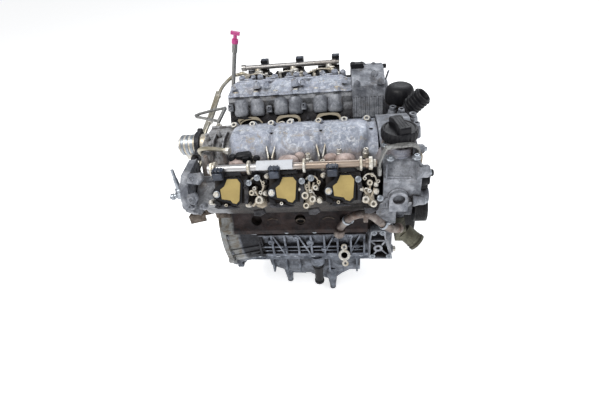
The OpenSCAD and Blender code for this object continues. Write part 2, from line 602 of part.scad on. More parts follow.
// A chain band round its wheels, kept clear of them
module band(pts, r, x0, x1) {
  ext(x0, x1) difference() {
    hull() for (p = pts) translate(p) circle(r = r + 6);
    hull() for (p = pts) translate(p) circle(r = r + 0.5);
  }
}
module timing_chains() {
  color([0.4, 0.38, 0.34]) {
    band([pl(cam_in, joint), pl(cam_out, joint), [58, 108]], 25.5, 393, 399);
    side(true) band([pl(cam_in, joint), pl(cam_out, joint), [58, 108]], 25.5, 405, 411);
    band([[0, 0], [0, 116]], 34.5, 389, 392.6);
  }
}
module chain_guides() {
  color([0.75, 0.68, 0.5]) for (n = [false, true]) side(n) {
    a = n ? 404 : 392;
    ext(a, a + 8) polygon([[98, 176], [112, 168], [140, 214], [127, 222]]);
  }
}
module valves() {
  color([0.72, 0.72, 0.7]) for (near = [false, true]) bank(near) for (k = [0:2]) for (d = [-18, 18]) for (q = [[-20, -20], [20, 0]])
    translate([cyl[k], 0, 0]) tilt() valve_at(d, q[0], q[1]) { translate([0, 0, -2]) cylinder(r = 14, h = 2.5); cylinder(r = 2.95, h = 62); translate([0, 0, 59]) cylinder(r = 11, h = 3); }
}
module valve_springs() {
  color("slategray") for (near = [false, true]) bank(near) for (k = [0:2]) for (d = [-18, 18]) for (q = [[-20, -20], [20, 0]])
    translate([cyl[k], 0, 0]) tilt() valve_at(d, q[0], q[1]) translate([0, 0, 44.6]) difference() { cylinder(r = 9, h = 14.2); translate([0, 0, -1]) cylinder(r = 6.5, h = 18); }
}
module glow_plugs() {
  color("silver") for (near = [false, true]) bank(near) for (k = [0:2]) translate([cyl[k], 0, 0]) tilt() translate([0, 0, deck + 8]) { cylinder(r = 2.5, h = 20); translate([0, 0, 12]) cylinder(r = 4.4, h = 36); }
}
module oil_pump() {
  color([0.5, 0.5, 0.5]) difference() { translate([372.2, -40, -48]) cube([12.4, 80, 12.6]); translate([370, 0, 0]) xcyl(40, 0, 20); }
}

// ---------- fuel system ----------
module rail(near, x0, x1) {
  side(near) at_yz(rail_p(near)) difference() {
    union() {
      xcyl(rail_d / 2, x0, x1);
      xcyl(rail_d / 2 + 2.5, x0 - 4, x0 + 9);
      xcyl(rail_d / 2 + 2, x1 - 12, x1 - 2);
      xcyl(rail_d / 2 - 1, x1 - 3, x1 + 8);
    }
    xcyl(3, x0 + 8, x1 - 4);
  }
}
module fuel_rail_far() { color([0.45, 0.43, 0.4]) rail(false, 20, 300); }
module fuel_rail_near() { color([0.6, 0.58, 0.55]) rail(true, 64, 366); }
inj_d = [0, -110, -165] / norm([0, 110, 165]);
module injectors() {
  color([0.72, 0.68, 0.55]) for (near = [false, true]) bank(near) for (k = [0:2]) translate([cyl[k], rail_p(near)[0], rail_p(near)[1]]) difference() {
    union() {
      rod(inj_d * 6, inj_d * 40, 9);
      rod(inj_d * 16, inj_d * 24, 12);
      rod(inj_d * 38, inj_d * 150, 6);
    }
    xcyl(rail_d / 2 + 0.02, -30, 30);
  }
}
module injector_connectors() {
  color([0.04, 0.04, 0.05]) {
    for (k = [0:2]) side(true) translate([82 + k * bore_pitch, 275, 337]) difference() {
      union() {
        translate([-11, 3, -8]) cube([22, 17, 14]);
        translate([-9, 10, -13]) cube([18, 9, 7]);
      }
      xcyl(rail_d / 2 + 2.6, -30, 30);
    }
    for (k = [0:2]) translate([86 + k * bore_pitch, 271, 329]) difference() {
      translate([-11, 2, -4]) cube([22, 22, 20]);
      xcyl(rail_d / 2 + 2.6, -30, 30);
    }
  }
}
module mask_outline() { polygon([[-6, -23], [13, -23], [19, -15], [16, 18], [10, 24], [3, 22], [-1, 17], [-18, 14], [-20, -4], [-12, -10]]); }
module gasket_outline() { polygon([[-12, -26], [16, -26], [23, -16], [20, 21], [12, 28], [1, 26], [-5, 21], [-20, 18], [-34, 13], [-37, 4], [-33, -5], [-27, -10], [-18, -16]]); }
module intake_gaskets() {
  color([0.05, 0.05, 0.05]) for (near = [false, true]) bank(near) for (k = [0:2]) translate([cyl[k], 0, 0]) port_face() difference() {
    translate([0, 0, 0.1]) linear_extrude(3) gasket_outline();
    translate([-1, 0, -1]) cylinder(r = 13, h = 6);
    translate([-28, 5, -1]) cylinder(r = 3.4, h = 6);
  }
}
module port_masks() {
  color([0.72, 0.62, 0.36]) for (near = [false, true]) bank(near) for (k = [0:2]) translate([cyl[k], 0, 0]) port_face() translate([0, 0, 3.2]) linear_extrude(1.6) mask_outline();
}
module valley_port_rims() {
  color([0.72, 0.64, 0.5]) for (near = [false, true]) bank(near) for (k = [0:2]) translate([cyl[k], 0, 0]) tilt() translate([0, -86.1, deck + 28]) rotate([90, 0, 0]) linear_extrude(2)
    difference() { oval(66, 32); oval(52, 18); }
}
hp_yz = [pl(cam_in, joint)[0], pl(cam_in, joint)[1]];
module high_pressure_pump() {
  color([0.7, 0.7, 0.68]) union() {
    side(true) at_yz(hp_yz) {
      xcyl(23, -52, -14);
      xcyl(19, -56, -50);
      xcyl(29, -16, -5);
      xcyl(24, -6, 13.8);
      rotate([160, 0, 0]) translate([-54, -9, 10]) cube([20, 18, 32]);
      rotate([160, 0, 0]) translate([-44, 0, 40]) cylinder(r = 6.5, h = 16);
    }
  }
}
module fuel_pipe_long() {
  color([0.72, 0.7, 0.6]) tube([[44, 219, 324], [30, 219, 332], [14, 217, 330], [-1, 212, 328], [-28, 178, 311], [-35, 125, 292], [-41, 80, 272], [-48, 40, 260],
    [-46, -30, 252], [-34, -70, 247], [-28, -110, 244], [-28, -165, 241], [-26, -205, 241], [-27, -230, 245], [-27, -236.6, 252]], 4.2);
}
module fuel_pipe_short() {
  color([0.72, 0.7, 0.6]) {
    tube([[-44, 176, 300], [-48, 140, 286], [-54, 96, 268], [-60, 46, 252], [-60, 0, 240], [-54, -50, 234], [-46, -78, 238]], 4.2);
    tube([[8, -118, 262], [8, -152, 286], [8, -176, 318], [30, -194, 334], [62, -206, 338], [84, -214, 338]], 4);
  }
}
module banjo_fitting() {
  color([0.62, 0.6, 0.52]) difference() {
    union() {
      translate([-27, -250, 251]) cylinder(r = 9, h = 22);
      translate([-27, -250, 272]) cylinder(r1 = 5, r2 = 4, h = 30);
      translate([-27, -250, 300]) cylinder(r = 3, h = 22);
      rod([-27, -250, 259], [-50, -258, 255], 6);
    }
    translate([-27, -250, 300]) cylinder(r = 1.5, h = 30);
  }
}

// ---------- dipstick ----------
// Points along the dipstick's leaning axis, t from its middle clip
function stick(t) = [8, 200, 340] + t * [28, 0, 112] / norm([28, 0, 112]);
module dipstick_tube() {
  color([0.5, 0.5, 0.48]) difference() {
    union() {
      rod(stick(-96), stick(86), 5.6);
      rod(stick(62), stick(86), 7.4);
      translate([-10, 196, 270]) cube([24, 12, 8]);
    }
    rod(stick(-60), stick(90), 4);
  }
}
module dipstick() {
  color([0.85, 0.2, 0.45]) union() {
    rod(stick(-50), stick(100), 2.6);
    rod(stick(86.5), stick(97), 9);
    rod(stick(96), stick(110), 5);
    translate(stick(113)) rotate([0, 14.04, 0]) cube([24, 10, 8], center = true);
  }
}

// ---------- brackets ----------
module lifting_eye() {
  color([0.62, 0.58, 0.48]) union() {
    difference() {
      translate([0, 0, 314]) linear_extrude(6) polygon([[-52, -14], [-44, -22], [20, -46], [20, 34], [-44, -6]]);
      translate([0, 0, 310]) linear_extrude(12) polygon([[-40, -15], [4, -31], [4, 16], [-38, -12]]);
    }
    ext(14.2, 20.2) polygon([[-33, 216.4], [33, 216.4], [34, 230], [34, 320], [-40, 320], [-34, 230]]);
  }
}
module rear_bracket() {
  color([0.34, 0.24, 0.18]) difference() {
    union() {
      translate([0, 0, 176]) linear_extrude(7) polygon([[-37, -235], [44, -210], [48, -186], [14.4, -186], [-33, -213]]);
      translate([0, 0, 160]) linear_extrude(18) polygon([[-37, -235], [-3, -224.5], [-4.5, -219.5], [-38.5, -230]]);
      translate([14.4, -207, 152]) cube([34, 21, 26]);
      translate([1, -226, 180]) cube([10, 6, 38]);
      translate([6, -226, 217]) rotate([-90, 0, 0]) cylinder(r = 7, h = 6);
    }
    translate([-18, -220, 170]) cylinder(r = 5, h = 20);
    translate([30, -204, 170]) cylinder(r = 5, h = 20);
    translate([6, -228, 217]) rotate([-90, 0, 0]) cylinder(r = 3.5, h = 10);
  }
}
module strap_bracket() {
  color([0.12, 0.12, 0.13]) {
    translate([374.4, -296, 322]) cube([7, 24, 30]);
    translate([378, -284, 346]) sphere(r = 5);
    rod([378, -284, 346], [390, -273, 368], 4);
    rod([389, -273.5, 367], [432, -268, 369], 4);
    rod([430, -268.4, 369], [449, -261, 357], 4);
    translate([445, -264, 339.4]) cube([7, 14, 21]);
  }
}
module coolant_pipe() {
  color([0.66, 0.6, 0.54]) difference() {
    union() {
      elbows([[303, -216, 122], [311, -236, 150], [325, -248, 181], [347, -252, 195], [368, -250, 187], [388, -242, 161], [413, -230, 128], [437, -214, 116]], 8);
      rod([303, -216, 118], [300, -218, 106], 12);
      translate([352, -262, 178]) cube([10, 22, 24]);
      rod([431, -218, 119], [440, -212, 114], 11);
    }
    rod([302.4, -216.4, 115.6], [299, -218.7, 102], 8);
  }
}
bracket_side = [[369, 3], [427, 3], [411, 64], [405, 100], [373, 100], [369, 64]];
module accessory_bracket() {
  color([0.58, 0.59, 0.6]) difference() {
    union() {
      translate([0, -182, 0]) rotate([90, 0, 0]) linear_extrude(6) polygon(bracket_side);
      translate([0, -186, 0]) rotate([90, 0, 0]) linear_extrude(19) difference() { polygon(bracket_side); offset(delta = -4) polygon(bracket_side); }
      translate([0, -186, 0]) rotate([90, 0, 0]) linear_extrude(17) {
        translate([368, 62]) square([44, 4]);
        polygon([[372, 6], [377, 6], [410, 62], [405, 62]]);
        polygon([[420, 6], [425, 6], [376, 62], [371, 62]]);
      }
      translate([391, -187, 40]) rotate([90, 0, 0]) cylinder(r = 11, h = 18);
      // foot against the crankcase side
      ext(369, 409) polygon([[-183, 3], [-155, 3], [-155, 18], [-167, 64], [-183, 84]]);
    }
    translate([391, -240, 40]) rotate([-90, 0, 0]) cylinder(r = 5, h = 60);
  }
}
module oil_outlet_flange() {
  color([0.66, 0.66, 0.64]) difference() {
    union() {
      translate([309, -148, -30]) rotate([60, 0, 0]) cylinder(r = 15, h = 34);
      translate([309, -148, -30]) rotate([60, 0, 0]) translate([0, 22, 24]) cylinder(r = 8, h = 9);
      translate([309, -148, -30]) rotate([60, 0, 0]) translate([2, -22, 24]) cylinder(r = 8, h = 9);
      translate([309, -148, -30]) rotate([60, 0, 0]) translate([-8, -22, 24]) cube([16, 44, 9]);
    }
    translate([309, -148, -30]) rotate([60, 0, 0]) translate([0, 0, 8]) cylinder(r = 8, h = 40);
  }
}
module sensors() {
  color([0.04, 0.04, 0.05]) {
    side(true) { translate([118, 226, 297.2]) cylinder(r = 8, h = 30); translate([111, 219, 318]) cube([22, 14, 17]); }
    translate([341, 150, 350.2]) cube([31, 16, 12]);
    at_yz([200, 334]) xcyl(6, 424.2, 436);
    side(true) at_yz([272, 282]) xcyl(8, 452.2, 468);
  }
}
module cover_bolts() {
  color([0.6, 0.58, 0.5]) for (near = [false, true]) side(near) {
    for (x = ear_x(near)) translate([x, 0, 0]) tilt() translate([0, -88, joint]) { translate([0, 0, 0.5]) cylinder(r = 3.2, h = 11); translate([0, 0, 10.1]) cylinder(r = 6.5, h = 6, $fn = 6); }
    for (x = rim_x(near)) translate([x, 0, 0]) tilt() translate([0, 56.5, joint + 10.1]) cylinder(r = 6, h = 6, $fn = 6);
  }
}
module housing_bolts() {
  color([0.55, 0.55, 0.52]) {
    for (q = [[140, -30], [150, 60], [-140, -30], [60, 200], [-60, 200]]) translate([436.1, q[0], q[1]]) rotate([0, 90, 0]) cylinder(r = 7.5, h = 7, $fn = 6);
    for (k = [0:2]) for (n = [false, true]) bank(n) translate([cyl[k], 0, 0]) port_face() translate([-28, 5, 3.2]) cylinder(r = 5.6, h = 6, $fn = 6);
  }
}

cylinder_block();
main_bearing_caps();
rear_seal_carrier();
oil_sump();
sump_sensor();
drain_plug();
head_far();
head_near();
head_gasket_far();
head_gasket_near();
cam_cover_far();
cam_cover_near();
front_housing_far();
front_housing_near();
timing_cover();
oil_filler_cap();
oil_filter_housing();
oil_filter_cap();
oil_filter_element();
coolant_connector();
water_neck();
water_pump_housing();
water_pump_pulley();
crankshaft();
crank_pulley();
pistons();
piston_pins();
connecting_rods();
camshaft_far_inner();
camshaft_far_outer();
camshaft_near_inner();
camshaft_near_outer();
timing_chains();
chain_guides();
valves();
valve_springs();
glow_plugs();
oil_pump();
fuel_rail_far();
fuel_rail_near();
injectors();
injector_connectors();
intake_gaskets();
port_masks();
valley_port_rims();
high_pressure_pump();
fuel_pipe_long();
fuel_pipe_short();
banjo_fitting();
dipstick_tube();
dipstick();
lifting_eye();
rear_bracket();
strap_bracket();
coolant_pipe();
accessory_bracket();
oil_outlet_flange();
sensors();
cover_bolts();
housing_bolts();
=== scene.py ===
import bpy, bmesh, math, random, json
from mathutils import Vector, Matrix


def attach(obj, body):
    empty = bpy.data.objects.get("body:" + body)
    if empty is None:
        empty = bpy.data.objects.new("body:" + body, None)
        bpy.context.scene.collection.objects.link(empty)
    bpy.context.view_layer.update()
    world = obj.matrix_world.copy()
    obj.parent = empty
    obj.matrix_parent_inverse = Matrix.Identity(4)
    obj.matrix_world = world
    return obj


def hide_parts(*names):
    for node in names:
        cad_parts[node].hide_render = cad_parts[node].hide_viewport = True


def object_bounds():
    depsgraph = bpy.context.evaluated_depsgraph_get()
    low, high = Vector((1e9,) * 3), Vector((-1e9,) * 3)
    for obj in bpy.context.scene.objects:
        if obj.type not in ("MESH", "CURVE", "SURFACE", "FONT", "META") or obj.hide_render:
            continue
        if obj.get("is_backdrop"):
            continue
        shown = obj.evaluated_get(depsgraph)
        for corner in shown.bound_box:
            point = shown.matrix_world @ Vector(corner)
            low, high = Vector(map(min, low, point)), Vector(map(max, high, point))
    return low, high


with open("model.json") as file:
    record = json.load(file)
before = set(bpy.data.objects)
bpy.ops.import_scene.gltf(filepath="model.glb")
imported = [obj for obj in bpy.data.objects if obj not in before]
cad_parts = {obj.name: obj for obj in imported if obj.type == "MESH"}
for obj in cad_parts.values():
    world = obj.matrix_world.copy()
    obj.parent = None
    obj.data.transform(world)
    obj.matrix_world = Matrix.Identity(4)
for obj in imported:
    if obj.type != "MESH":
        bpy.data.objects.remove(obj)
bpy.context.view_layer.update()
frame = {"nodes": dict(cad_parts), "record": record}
MM = 0.001
C30, S30 = math.cos(math.radians(30)), math.sin(math.radians(30))
random.seed(7)


# ------------------------------------------------------------------ materials
def lin(c):
    return tuple(x / 12.92 if x <= 0.04045 else ((x + 0.055) / 1.055) ** 2.4 for x in c)


class NT:
    """A small helper around a material's node tree."""

    def __init__(self, name):
        self.m = bpy.data.materials.new(name)
        self.m.use_nodes = True
        self.t = self.m.node_tree
        self.bsdf = self.t.nodes["Principled BSDF"]
        self.co = self.t.nodes.new("ShaderNodeTexCoord").outputs["Object"]

    def n(self, kind, **k):
        x = self.t.nodes.new(kind)
        for a, b in k.items():
            setattr(x, a, b)
        return x

    def link(self, a, b):
        self.t.links.new(a, b)

    def noise(self, scale, detail=4.0, rough=0.55, distortion=0.0, stretch=None):
        x = self.n("ShaderNodeTexNoise")
        x.inputs["Scale"].default_value = scale
        x.inputs["Detail"].default_value = detail
        x.inputs["Roughness"].default_value = rough
        x.inputs["Distortion"].default_value = distortion
        if stretch:
            mp = self.n("ShaderNodeMapping")
            mp.inputs["Scale"].default_value = stretch
            self.link(self.co, mp.inputs["Vector"])
            self.link(mp.outputs[0], x.inputs["Vector"])
        else:
            self.link(self.co, x.inputs["Vector"])
        return x.outputs["Fac"]

    def voronoi(self, scale, feature="F1"):
        x = self.n("ShaderNodeTexVoronoi", feature=feature)
        x.inputs["Scale"].default_value = scale
        self.link(self.co, x.inputs["Vector"])
        return x.outputs["Distance"]

    def ramp(self, fac, stops):
        x = self.n("ShaderNodeValToRGB")
        e = x.color_ramp.elements
        while len(e) < len(stops):
            e.new(0.5)
        for el, (p, c) in zip(e, stops):
            el.position = p
            el.color = (c, c, c, 1) if isinstance(c, (int, float)) else (*c, 1)
        self.link(fac, x.inputs["Fac"])
        return x.outputs["Color"]

    def mix(self, fac, a, b, blend="MIX"):
        x = self.n("ShaderNodeMix", data_type="RGBA", blend_type=blend)
        for sock, v in ((x.inputs[0], fac), (x.inputs[6], a), (x.inputs[7], b)):
            if isinstance(v, (int, float)):
                sock.default_value = v
            elif isinstance(v, tuple):
                sock.default_value = (*v, 1)
            else:
                self.link(v, sock)
        return x.outputs[2]

    def math(self, op, a, b=0.0, clamp=False):
        x = self.n("ShaderNodeMath", operation=op, use_clamp=clamp)
        for sock, v in ((x.inputs[0], a), (x.inputs[1], b)):
            if isinstance(v, (int, float)):
                sock.default_value = v
            else:
                self.link(v, sock)
        return x.outputs[0]

    def ao(self, dist, inside=False, samples=6):
        x = self.n("ShaderNodeAmbientOcclusion", inside=inside, samples=samples)
        x.inputs["Distance"].default_value = dist
        return x.outputs["AO"]

    def edge_normal(self, radius):
        x = self.n("ShaderNodeBevel", samples=4)
        x.inputs["Radius"].default_value = radius
        return x.outputs["Normal"]

    def axis(self, i, absolute=False):
        x = self.n("ShaderNodeSeparateXYZ")
        self.link(self.co, x.inputs[0])
        return self.math("ABSOLUTE", x.outputs[i]) if absolute else x.outputs[i]

    def span(self, v, lo, hi, soft=0.006):
        """One inside lo..hi, falling off softly, with a ragged border."""
        w = self.math("ADD", v, self.math("MULTIPLY", self.math("SUBTRACT", self.noise(60, 5, 0.65), 0.5), soft * 3))
        a = self.n("ShaderNodeMapRange")
        b = self.n("ShaderNodeMapRange")
        for x, p, q in ((a, lo - soft, lo + soft), (b, hi + soft, hi - soft)):
            self.link(w, x.inputs["Value"])
            x.inputs["From Min"].default_value = p
            x.inputs["From Max"].default_value = q
        return self.math("MULTIPLY", a.outputs[0], b.outputs[0], True)

    def bump(self, height, strength, distance, normal=None):
        x = self.n("ShaderNodeBump")
        x.inputs["Strength"].default_value = strength
        x.inputs["Distance"].default_value = distance
        self.link(height, x.inputs["Height"])
        if normal is not None:
            self.link(normal, x.inputs["Normal"])
        return x.outputs["Normal"]

    def done(self, color, rough, normal=None, metallic=0.0, spec=0.5, coat=0.0, coat_rough=0.1, sheen=0.0):
        b = self.bsdf
        if isinstance(color, tuple):
            b.inputs["Base Color"].default_value = (*color, 1)
        else:
            self.link(color, b.inputs["Base Color"])
        if isinstance(rough, (int, float)):
            b.inputs["Roughness"].default_value = rough
        else:
            self.link(rough, b.inputs["Roughness"])
        if normal is not None:
            self.link(normal, b.inputs["Normal"])
        if isinstance(metallic, (int, float)):
            b.inputs["Metallic"].default_value = metallic
        else:
            self.link(metallic, b.inputs["Metallic"])
        b.inputs["Specular IOR Level"].default_value = spec
        b.inputs["Coat Weight"].default_value = coat
        b.inputs["Coat Roughness"].default_value = coat_rough
        b.inputs["Sheen Weight"].default_value = sheen
        return self.m


def cast(name, light, dark, grime_and_shade, stain=None, stain_amt=0.5, metallic=0.7, rough=0.42, grain=900, ao_dist=0.022, ao_gain=1.0, edge=None, seed=0.0, zones=None, round_edges=0.0013):
    """Sand-cast alloy: tonal clouds, grime and painted shade in the corners, stains in patches and a fine grain."""
    t = NT(name)
    clouds = t.ramp(t.noise(26 + seed, 9, 0.68, 0.5), [(0.40, 0.0), (0.60, 1.0)])
    col = t.mix(clouds, dark, light)
    pale = t.ramp(t.noise(75 + seed * 2, 7, 0.7, 0.8), [(0.54, 0.0), (0.66, 1.0)])
    col = t.mix(t.math("MULTIPLY", pale, 0.5), col, tuple(min(0.9, 1.45 * x + 0.02) for x in light))
    blot = t.ramp(t.noise(55 + seed * 3, 6, 0.7, 0.6), [(0.46, 0.0), (0.62, 1.0)])
    col = t.mix(t.math("MULTIPLY", blot, 0.5), col, tuple(0.5 * x for x in dark))
    speck = t.ramp(t.noise(210, 6, 0.75, 0.3), [(0.56, 0.0), (0.68, 1.0)])
    col = t.mix(t.math("MULTIPLY", speck, 0.6), col, tuple(0.3 * x for x in dark))
    if stain:
        s = t.ramp(t.noise(20 + seed * 2, 9, 0.72, 0.9), [(0.56, 0.0), (0.66, 1.0)])
        col = t.mix(t.math("MULTIPLY", s, stain_amt), col, stain)
    if zones:
        col = zones(t, col)
    if edge:
        e = t.ramp(t.ao(0.0035, True, 4), [(0.35, 1.0), (0.8, 0.0)])
        col = t.mix(t.math("MULTIPLY", e, 0.6), col, edge)
    # painted shade: ambient occlusion darkens corners and recesses toward the grime colour, partly real grime
    ao = t.ao(ao_dist)
    noisy = t.math("ADD", ao, t.math("MULTIPLY", t.math("SUBTRACT", t.noise(120, 5), 0.5), 0.5))
    g = t.ramp(noisy, [(0.22, 1.0), (0.72, 0.0)])
    col = t.mix(t.math("MULTIPLY", g, ao_gain, True), col, grime_and_shade)
    r = t.math("ADD", t.math("MULTIPLY", t.noise(260, 4), 0.28), rough - 0.14)
    n = t.bump(t.noise(grain, 3), 0.5, 0.0009, t.edge_normal(round_edges))
    n = t.bump(t.noise(110, 6, 0.65), 0.55, 0.0026, n)
    return t.done(col, t.math("ADD", r, t.math("MULTIPLY", g, 0.25), True), n, t.math("MULTIPLY", t.math("SUBTRACT", 1.0, t.math("MULTIPLY", g, 0.8)), metallic), 0.16)


def machined(name, light, dark, grime_and_shade, metallic=0.95, rough=0.26, streak=(900, 60, 60), ao_gain=0.7, tint=None):
    """Machined or drawn steel: fine streaks, a little dirt and painted shade in the recesses, patches of tint."""
    t = NT(name)
    s = t.noise(1.0, 4, 0.6, 0, streak)
    col = t.mix(t.ramp(s, [(0.35, 0.0), (0.65, 1.0)]), dark, light)
    if tint:
        col = t.mix(t.math("MULTIPLY", t.ramp(t.noise(28, 6, 0.6), [(0.45, 0.0), (0.65, 1.0)]), 0.65), col, tint)
    # painted shade: ambient occlusion darkens recesses toward the grime colour, partly real dirt
    g = t.ramp(t.math("ADD", t.ao(0.012), t.math("MULTIPLY", t.math("SUBTRACT", t.noise(160, 5), 0.5), 0.6)), [(0.2, 1.0), (0.68, 0.0)])
    col = t.mix(t.math("MULTIPLY", g, ao_gain), col, grime_and_shade)
    r = t.math("ADD", t.math("MULTIPLY", s, 0.2), rough - 0.06)
    n = t.bump(s, 0.2, 0.0004, t.edge_normal(0.0007))
    n = t.bump(t.noise(420, 4), 0.12, 0.0005, n)
    return t.done(col, r, n, metallic)


def plastic(name, col, dust, rough=0.38, spec=0.5, dusty=0.35, coat=0.0):
    """Moulded black or coloured plastic with dust and scuffs."""
    t = NT(name)
    d = t.ramp(t.noise(46, 8, 0.7, 0.4), [(0.46, 0.0), (0.72, 1.0)])
    c = t.mix(t.math("MULTIPLY", d, dusty), col, dust)
    sc = t.ramp(t.noise(1.0, 3, 0.5, 0.0, (400, 60, 400)), [(0.6, 0.0), (0.66, 1.0)])
    c = t.mix(t.math("MULTIPLY", sc, dusty * 0.6), c, dust)
    r = t.math("ADD", t.math("MULTIPLY", d, 0.25), rough)
    n = t.bump(t.noise(1400, 2), 0.25, 0.0002)
    n = t.bump(t.noise(130, 4), 0.1, 0.001, n)
    return t.done(c, r, n, 0.0, spec, coat)


# colour of grime and of the painted shade in recesses
GRIME_AND_SHADE = (0.014, 0.010, 0.008)


def block_zones(t, col):
    y, z, x = t.axis(1, True), t.axis(2), t.axis(0)
    n = t.ramp(t.noise(38, 7, 0.7, 0.8), [(0.4, 0.0), (0.62, 1.0)])
    # painted shade: the channel under the heads is darkened to brown-black, partly brown grime
    ch = t.math("MULTIPLY", t.span(z, 0.082, 0.24, 0.004), t.span(y, 0.14, 0.30, 0.004))
    channel_shade_brown = t.mix(n, (0.008, 0.005, 0.0045), (0.034, 0.019, 0.015))
    col = t.mix(t.math("MULTIPLY", ch, 0.93), col, channel_shade_brown)
    bell = t.span(x, -0.01, 0.040, 0.004)
    green = t.mix(t.ramp(t.noise(30, 6, 0.7, 0.5), [(0.42, 0.0), (0.6, 1.0)]), (0.27, 0.28, 0.28), (0.13, 0.105, 0.07))
    col = t.mix(t.math("MULTIPLY", bell, 0.85), col, green)
    # painted shade: the recess inside the conical housing is coloured near black
    cone = t.math("MULTIPLY", t.span(x, 0.043, 0.099, 0.003), t.span(z, -0.06, 0.085, 0.006))
    return t.mix(t.math("MULTIPLY", cone, 0.88), col, (0.010, 0.009, 0.010))


def head_zones(t, col):
    y, z = t.axis(1, True), t.axis(2)
    # painted shade: the outboard face behind and under the port parts is darkened nearly to black
    n = t.ramp(t.noise(45, 7, 0.7, 0.9), [(0.42, 0.0), (0.6, 1.0)])
    dark = t.mix(n, (0.006, 0.005, 0.0048), (0.036, 0.028, 0.024))
    out = t.math("MULTIPLY", t.span(y, 0.205, 0.40, 0.006), t.span(t.axis(0), 0.062, 0.50, 0.008))
    col = t.mix(t.math("MULTIPLY", out, 0.95), col, dark)
    # painted shade: the head's valley side, between the banks, is darkened
    low = t.math("MULTIPLY", t.span(z, 0.18, 0.282, 0.006), t.span(y, 0.0, 0.125, 0.006))
    return t.mix(t.math("MULTIPLY", low, 0.88), col, (0.018, 0.016, 0.018))


def cover_zones(t, col):
    # painted highlights: pale, nearly white patches stand in for highlights on the covers
    highlight_patches = t.ramp(t.noise(90, 8, 0.75, 1.0), [(0.50, 0.0), (0.60, 1.0)])
    col = t.mix(t.math("MULTIPLY", highlight_patches, 0.65), col, (0.80, 0.82, 0.86))
    streaks = t.ramp(t.noise(1.0, 6, 0.7, 0.6, (240, 60, 60)), [(0.52, 0.0), (0.62, 1.0)])
    col = t.mix(t.math("MULTIPLY", streaks, 0.45), col, (0.20, 0.21, 0.26))
    tone = t.ramp(t.noise(24, 7, 0.65, 0.7), [(0.44, 0.0), (0.62, 1.0)])
    col = t.mix(t.math("MULTIPLY", tone, 0.45), col, (0.34, 0.36, 0.45))
    gold = t.ramp(t.noise(33, 9, 0.75, 1.4), [(0.57, 0.0), (0.64, 1.0)])
    col = t.mix(t.math("MULTIPLY", gold, 0.5), col, (0.40, 0.31, 0.17))
    y, z = t.axis(1, True), t.axis(2)
    rear = t.math("MULTIPLY", t.span(t.axis(0), -0.1, 0.076, 0.004), t.span(t.axis(1), -0.4, 0.0, 0.002))
    mott = t.ramp(t.noise(60, 7, 0.7, 0.9), [(0.44, 0.0), (0.58, 1.0)])
    col = t.mix(t.math("MULTIPLY", rear, 0.75), col, t.mix(mott, (0.11, 0.095, 0.075), (0.42, 0.42, 0.42)))
    foot = t.span(y, 0.197, 0.26, 0.005)
    n = t.ramp(t.noise(70, 6, 0.7, 0.6), [(0.38, 0.0), (0.6, 1.0)])
    return t.mix(t.math("MULTIPLY", foot, 0.6), col, t.mix(n, (0.10, 0.05, 0.028), (0.26, 0.20, 0.16)))


M = {}
M["block"] = cast("m_block", (0.27, 0.295, 0.345), (0.09, 0.10, 0.125), GRIME_AND_SHADE, (0.08, 0.055, 0.035), 0.5, 0.3, 0.5, 700, 0.03, 1.0, None, 0.0, block_zones)
M["sump"] = cast("m_sump", (0.20, 0.22, 0.26), (0.06, 0.068, 0.085), GRIME_AND_SHADE, (0.06, 0.048, 0.04), 0.4, 0.3, 0.48, 800, 0.03)
M["head"] = cast("m_head", (0.34, 0.35, 0.37), (0.14, 0.145, 0.16), GRIME_AND_SHADE, (0.12, 0.085, 0.05), 0.5, 0.3, 0.48, 800, 0.03, 1.0, None, 0.0, head_zones)
M["cover"] = cast("m_cover", (0.46, 0.50, 0.585), (0.27, 0.30, 0.365), (0.03, 0.022, 0.018), (0.27, 0.215, 0.155), 0.45, 0.12, 0.48, 1000, 0.022, 1.0, None, 0.0, cover_zones)
M["alloy"] = cast("m_alloy", (0.35, 0.365, 0.40), (0.15, 0.16, 0.185), GRIME_AND_SHADE, (0.14, 0.11, 0.08), 0.4, 0.25, 0.46, 900, 0.028)
M["darkalloy"] = cast("m_darkalloy", (0.07, 0.07, 0.078), (0.022, 0.022, 0.026), GRIME_AND_SHADE, (0.11, 0.095, 0.08), 0.4, 0.3, 0.48, 900)
M["neck"] = cast("m_neck", (0.20, 0.195, 0.145), (0.075, 0.07, 0.055), GRIME_AND_SHADE, (0.10, 0.075, 0.045), 0.4, 0.2, 0.55, 900)
M["rust"] = cast("m_rust", (0.15, 0.125, 0.105), (0.045, 0.034, 0.028), (0.01, 0.007, 0.005), (0.17, 0.10, 0.05), 0.6, 0.25, 0.6, 500)
M["steel"] = machined("m_steel", (0.44, 0.475, 0.52), (0.22, 0.24, 0.27), GRIME_AND_SHADE, 0.75, 0.33)
M["zinc"] = machined("m_zinc", (0.80, 0.79, 0.76), (0.46, 0.43, 0.37), GRIME_AND_SHADE, 0.5, 0.40, (300, 300, 300), 0.75, (0.44, 0.35, 0.21))
M["pipe"] = machined("m_pipe", (0.60, 0.575, 0.50), (0.35, 0.33, 0.27), (0.08, 0.06, 0.04), 0.75, 0.3, (80, 30, 400), 0.5, (0.42, 0.36, 0.24))
M["tube"] = machined("m_tube", (0.33, 0.33, 0.32), (0.17, 0.17, 0.165), GRIME_AND_SHADE, 0.5, 0.42, (300, 300, 20), 0.7)
M["copper"] = cast("m_copper", (0.27, 0.24, 0.22), (0.13, 0.10, 0.09), GRIME_AND_SHADE, (0.20, 0.115, 0.075), 0.45, 0.5, 0.36, 900, 0.02, 0.9, None, 1.7)


